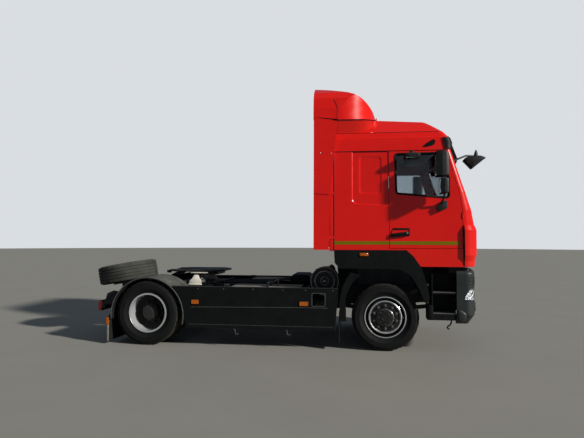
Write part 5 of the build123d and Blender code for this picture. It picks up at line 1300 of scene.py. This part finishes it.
def tank_fittings():
    """Straps and caps of the fuel tank, the battery box, the air tanks and the silencer."""
    tank = Shape()
    strap = rounded(rectangle(0.525, 1.155, 0.315, 0.825), 0.065)
    for x in (-2.5, -1.64):
        for dx in (-0.022, 0.022):
            tank.tube([(x + dx, y, z) for y, z in strap], 0.006, 6, closed=True)
    tank.lathe([(0, 0.04), (0.05, 0.04), (0.056, 0.03), (0.056, 0.012), (0.04, 0.01), (0.04, 0)],
               (-1.5, 0.95, 0.82), (0, 0, 1), 32)
    tank.piece("fuel_tank_fittings", "chassis", "black_metal", "dull_steel")
    box = Shape()
    for x in (-1.84, -1.51, -1.18):
        box.block((x - 0.012, -1.134, 0.38), (x + 0.012, -0.558, 0.764), 0.003)
    for x in (-1.67, -1.35):
        box.block((x - 0.03, -1.146, 0.66), (x + 0.03, -1.13, 0.72))
    for y in (-0.9, -0.62):
        for x in (-2.65, -2.11):
            box.tube([(x, y + 0.128 * cos(a), 0.48 + 0.128 * sin(a)) for a in turns(32)], 0.007, 6,
                     closed=True)
        box.lathe([(0.02, 0), (0.02, 0.02), (0.012, 0.024), (0.012, 0.04), (0, 0.04)], (-1.98, y, 0.48),
                  (1, 0, 0), 16)
    box.piece("side_box_straps", "chassis", "black_metal")
    pipe = Shape()
    strap = rounded(rectangle(0.516, 1.124, 0.376, 0.824), 0.085)
    for x in (-1.05, -0.87):
        pipe.tube([(x, y, z) for y, z in strap], 0.007, 6, closed=True)
    pipe.tube([(-1.0, 0.53, 0.6), (-1.0, 0.47, 0.62), (-0.92, 0.44, 0.6), (-0.6, 0.43, 0.58),
               (-0.35, 0.43, 0.6), (-0.3, 0.4, 0.7), (-0.28, 0.34, 0.85)], 0.045, 16)
    pipe.piece("silencer_pipes", "chassis", "exhaust_metal")


engine_top()
spring_bolts()
tank_fittings()


# Seats and bunk
def swollen(shape, voxel, cap, pressure=4.0):
    """A closed pad blown up a little by Blender's cloth; no point moves further than cap."""
    data = bpy.data.meshes.new("pad")
    shape.mesh.to_mesh(data)
    shape.mesh.free()
    pad = bpy.data.objects.new("pad", data)
    bpy.context.scene.collection.objects.link(pad)
    bpy.context.view_layer.objects.active = pad
    pad.select_set(True)
    even_out = pad.modifiers.new("even", "REMESH")
    even_out.mode = "VOXEL"
    even_out.voxel_size = voxel
    bpy.ops.object.modifier_apply(modifier="even")
    before = [v.co.copy() for v in pad.data.vertices]
    cloth = pad.modifiers.new("cloth", "CLOTH")
    cloth.settings.use_pressure = True
    cloth.settings.uniform_pressure_force = pressure
    cloth.settings.effector_weights.gravity = 0
    for moment in range(1, 21):
        bpy.context.scene.frame_set(moment)
    bpy.ops.object.modifier_apply(modifier="cloth")
    bpy.context.scene.frame_set(1)
    for v, start in zip(pad.data.vertices, before):
        move = v.co - start
        if move.length > cap:
            v.co = start + move * (cap / move.length)
    made = Shape()
    made.mesh.from_mesh(pad.data)
    bpy.data.objects.remove(pad)
    bmesh.ops.subdivide_edges(made.mesh, edges=made.mesh.edges[:], cuts=1, use_grid_fill=True, smooth=1.0)
    return made


def groove(distance, width, depth):
    """A sewn line's depth at a distance from its middle."""
    return depth * exp(-(distance / width) ** 2)


def cushion(name, centre, size, lean, finish, channels, rim, cap=0.016, voxel=0.016, flat=None):
    """A crowned pad, pulled in between its corners, with sewn channels and a seam round its front."""
    turn = Matrix.Translation(at(*centre)) @ Matrix.Rotation(radians(lean), 4, "Y")
    turn_back = turn.inverted()
    base = Shape()
    bmesh.ops.create_cube(base.mesh, size=2.0)
    bmesh.ops.subdivide_edges(base.mesh, edges=base.mesh.edges[:], cuts=15, use_grid_fill=True)
    room = [s / 2 - cap for s in size]
    for v in base.mesh.verts:
        p = v.co / sum(abs(c) ** 7 for c in v.co) ** (1 / 7)
        tight = 1 - 0.03 * (1 - p[0] ** 2) * abs(p[1]) ** 3
        loose = 1 - 0.03 * (1 - p[1] ** 2) * abs(p[0]) ** 3
        v.co = turn @ Vector((p[0] * room[0] * loose, p[1] * room[1] * tight, p[2] * room[2]))
    pad = swollen(base, voxel, cap)
    for v in pad.mesh.verts:
        p = turn_back @ v.co
        if p[2] > 0:
            edge = max(abs(p[0]) / (size[0] / 2), abs(p[1]) / (size[1] / 2))
            depth = groove(edge - rim, 0.022, 0.007)
            if edge < rim:
                for axis, where in channels:
                    depth = max(depth, groove(p[axis] - where, 0.009, 0.009))
            p[2] -= depth
        v.co = turn @ p
        if flat is not None:
            v.co.z = max(v.co.z, flat)
    made = pad.piece(name, "cab", "seat_fabric", finish, sharp=80)
    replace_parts(made, "seats_and_bunk")


def seat(name, side):
    """Cushion, back and headrest, with the base, its bellows and lever, and the headrest's rods."""
    y = side * 0.63
    cushion("seat_cushion_" + name, (0.345, y, 1.794), (0.52, 0.49, 0.124), 0, "seat_fabric",
            ((0, -0.1), (0, 0.05), (1, -0.14), (1, 0.14)), 0.84, flat=1.733)
    cushion("seat_back_" + name, (0.081, y, 2.165), (0.59, 0.49, 0.118), -98.3, "seat_fabric",
            ((0, -0.15), (0, 0.0), (0, 0.15), (1, -0.14), (1, 0.14)), 0.84)
    cushion("headrest_" + name, (0.036, y, 2.556), (0.155, 0.25, 0.088), -98.3, "seat_fabric", (), 0.8,
            cap=0.01, voxel=0.011)
    base = Shape().block((0.125, y - 0.19, 1.452), (0.555, y + 0.19, 1.485), 0.006)
    for k in range(5):
        x, z = 0.006 * (k % 2), 1.486 + k * 0.033
        base.block((0.15 + x, y - 0.17, z), (0.53 - x, y + 0.17, z + 0.028), 0.011)
    base.block((0.125, y - 0.195, 1.65), (0.558, y + 0.195, 1.7315), 0.016, 3)
    base.tube([(0.557, y + 0.12, 1.68), (0.6, y + 0.12, 1.69), (0.61, y + 0.12, 1.70)], 0.008, 8)
    for dy in (-0.07, 0.07):
        base.tube([(0.055, y + dy, 2.42), (0.035, y + dy, 2.55)], 0.0065, 8)
    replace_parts(base.piece("seat_base_" + name, "cab", "seat_fabric", "trim_plastic"), "seats_and_bunk")


def bunk():
    """A base with three flaps and their pulls, and the mattress."""
    base = Shape().block((-0.678, -1.098, 1.452), (-0.13, 1.098, 1.7505), 0.012, 3)
    for y in (-0.74, 0.0, 0.74):
        base.block((-0.131, y - 0.33, 1.49), (-0.1235, y + 0.33, 1.72))
        base.block((-0.124, y - 0.05, 1.68), (-0.117, y + 0.05, 1.70), 0.003)
    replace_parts(base.piece("bunk_base", "cab", "seat_fabric", "trim_plastic"), "seats_and_bunk")
    cushion("bunk_mattress", (-0.395, 0, 1.826), (0.56, 2.23, 0.146), 0, "bedding",
            [(1, y) for y in even(-0.9, 0.9, 7)], 0.93, voxel=0.022, flat=1.753)


for name, side in sides:
    seat(name, side)
bunk()


# Inside the cab
def dashboard():
    """Panels, vents and switches, dials, pedals and the gear lever."""
    dash = Shape().block((0.79, 0.42, 2.03), (0.9, 0.84, 2.135), 0.02, 3)
    dash.block((0.762, -0.22, 1.78), (0.80, 0.3, 2.0), 0.012)
    for y in (-1.0, -0.32, 0.36, 1.02):
        dash.block((0.772, y - 0.07, 1.88), (0.785, y + 0.07, 1.955), 0.006)
        for z in even(1.893, 1.938, 4):
            dash.block((0.765, y - 0.06, z), (0.773, y + 0.06, z + 0.005), 0.001, 1)
    for z in (1.81, 1.88):
        for y in even(-0.19, 0.235, 6):
            dash.block((0.757, y, z), (0.764, y + 0.06, z + 0.04), 0.002)
    dash.piece("dash_panels", "cab", "trim_plastic")
    dials = Shape()
    for y, r in ((0.53, 0.045), (0.73, 0.045), (0.63, 0.026)):
        dials.lathe([(r + 0.006, 0), (r + 0.006, 0.008), (r, 0.008), (r, 0.003), (0, 0.003)],
                    (0.789, y, 2.085), (-1, 0, 0), 32)
    dials.piece("dash_dials", "cab", "trim_plastic", "grille_silver")
    pedals = Shape()
    for y, width in ((0.78, 0.035), (0.64, 0.045), (0.5, 0.03)):
        pedals.block((0.86, y - width, 1.52), (0.875, y + width, 1.62))
        pedals.tube([(0.87, y, 1.6), (0.93, y, 1.74)], 0.009, 8)
    pedals.tube([(0.46, 0.28, 1.6), (0.46, 0.28, 1.78), (0.45, 0.28, 1.86)], 0.009, 8)
    pedals.lathe([(0, 0.03), (0.018, 0.024), (0.026, 0.0), (0.018, -0.024), (0, -0.03)], (0.45, 0.28, 1.88),
                 (0, 0, 1), 20)
    pedals.piece("pedals_and_lever", "cab", "black_plastic")


def cab_lining():
    """Lining of the back, the sides and the roof with its locker and lamps, and the floor's mats."""
    lining = Shape().block((-0.6795, -1.175, 1.91), (-0.673, 1.175, 3.06), 0.002)
    front_edge = [(0.7, 1.17), (0.8, 1.06), (0.86, 0.9)]
    outline = [(-0.673, -1.17)] + [(x, -y) for x, y in front_edge] + [(0.885, 0)] + front_edge[::-1]
    lining.plate(outline + [(-0.673, 1.17)], "z", 3.056, 3.064, 0.002)
    for side in (1, -1):
        lining.block((-0.672, side * 1.1835, 1.76), (0.045, side * 1.177, 2.9), 0.002)
        lining.block((-0.62, side * 1.178, 2.25), (-0.1, side * 1.172, 2.7), 0.003)
    lining.block((0.45, -0.8, 2.97), (0.8, 0.8, 3.057), 0.02, 3)
    for y in (-0.3, 0.3):
        lining.block((0.5, y - 0.09, 2.962), (0.62, y + 0.09, 2.972), 0.003)
    lining.piece("cab_lining", "cab", "cab_red", "light_trim")
    mats = Shape()
    for y in (-1.1, -0.34, 0.42):
        mats.block((0.56, y, 1.4505), (1.0, y + 0.68, 1.4585), 0.003)
    for side in (1, -1):
        mats.block((-0.12, side * 0.37, 1.4505), (0.56, side * 0.42, 1.456), 0.002)
    mats.piece("floor_mats", "cab", "rubber")


def door_card(name, side):
    """Inner side of a door: armrest, pocket, pull handle, loudspeaker and catch."""
    outline = rounded([(0.1, 1.54), (1.03, 1.54), (1.03, 2.02), (0.98, 2.2), (0.1, 2.2)], 0.03, 3)
    card = Shape().plate(outline, "y", side * 1.1845, side * 1.178, 0.002)
    card.block((0.13, side * 1.179, 1.91), (0.62, side * 1.125, 1.965), 0.014, 3)
    card.block((0.16, side * 1.179, 1.57), (0.86, side * 1.15, 1.70), 0.012)
    card.tube([(0.66, side * 1.178, 1.86), (0.68, side * 1.145, 1.88), (0.76, side * 1.145, 2.0),
               (0.78, side * 1.178, 2.02)], 0.011, 8)
    card.lathe([(0.085, 0), (0.085, 0.006), (0.075, 0.009), (0.02, 0.006), (0, 0.006)],
               (0.9, side * 1.178, 1.72), (0, -side, 0), 32)
    card.block((0.3, side * 1.179, 2.06), (0.42, side * 1.165, 2.09), 0.005)
    card.piece("door_card_" + name, name + "_door", "cab_red", "trim_plastic")


dashboard()
cab_lining()
for name, side in sides:
    door_card(name, side)


# Stage and light
def make_floor():
    bpy.ops.mesh.primitive_circle_add(vertices=96, radius=90, fill_type="NGON", location=(0, 0, 0))
    floor = bpy.context.object
    floor.name = "floor"
    ground = Finish()
    ground.material.name = "ground"
    tone = ground.mix(ground.noise(0.8, 5, 0.6), (0.19, 0.185, 0.165), (0.225, 0.22, 0.195))
    ground.surface(Base_Color=tone, Roughness=0.85)
    floor.data.materials.append(ground.material)


def make_sky():
    """Blue light and a fainter blue in reflections; the camera, also through glass, sees pale grey."""
    world = bpy.data.worlds.new("studio")
    bpy.context.scene.world = world
    world.use_nodes = True
    sky = Nodes(world.node_tree)
    diffuse = sky.node("ShaderNodeBackground", {"Color": (0.7, 0.83, 1.0), "Strength": 0.26})
    glossy = sky.node("ShaderNodeBackground", {"Color": (0.55, 0.72, 1.0), "Strength": 0.16})
    seen = sky.node("ShaderNodeBackground", {"Color": (0.7, 0.73, 0.76)})
    ray = sky.node("ShaderNodeLightPath", {}).outputs
    either = sky.node("ShaderNodeMath", {0: ray["Is Camera Ray"], 1: ray["Is Transmission Ray"]},
                      operation="MAXIMUM")
    first = sky.node("ShaderNodeMixShader", {0: ray["Is Glossy Ray"], 1: diffuse.outputs[0],
                                             2: glossy.outputs[0]})
    second = sky.node("ShaderNodeMixShader", {0: either.outputs[0], 1: first.outputs[0], 2: seen.outputs[0]})
    sky.fill(sky.tree.nodes["World Output"].inputs["Surface"], second.outputs[0])


def make_sun():
    sun = bpy.data.lights.new("key", "SUN")
    sun.energy = 5.4
    sun.angle = radians(3)
    sun.color = (1.0, 0.96, 0.9)
    lamp = bpy.data.objects.new("key", sun)
    lamp.rotation_euler = Vector((-0.825, 0.362, -0.434)).to_track_quat("-Z", "Y").to_euler()
    bpy.context.scene.collection.objects.link(lamp)


make_floor()
make_sky()
make_sun()
bpy.context.scene.view_settings.view_transform = "Standard"
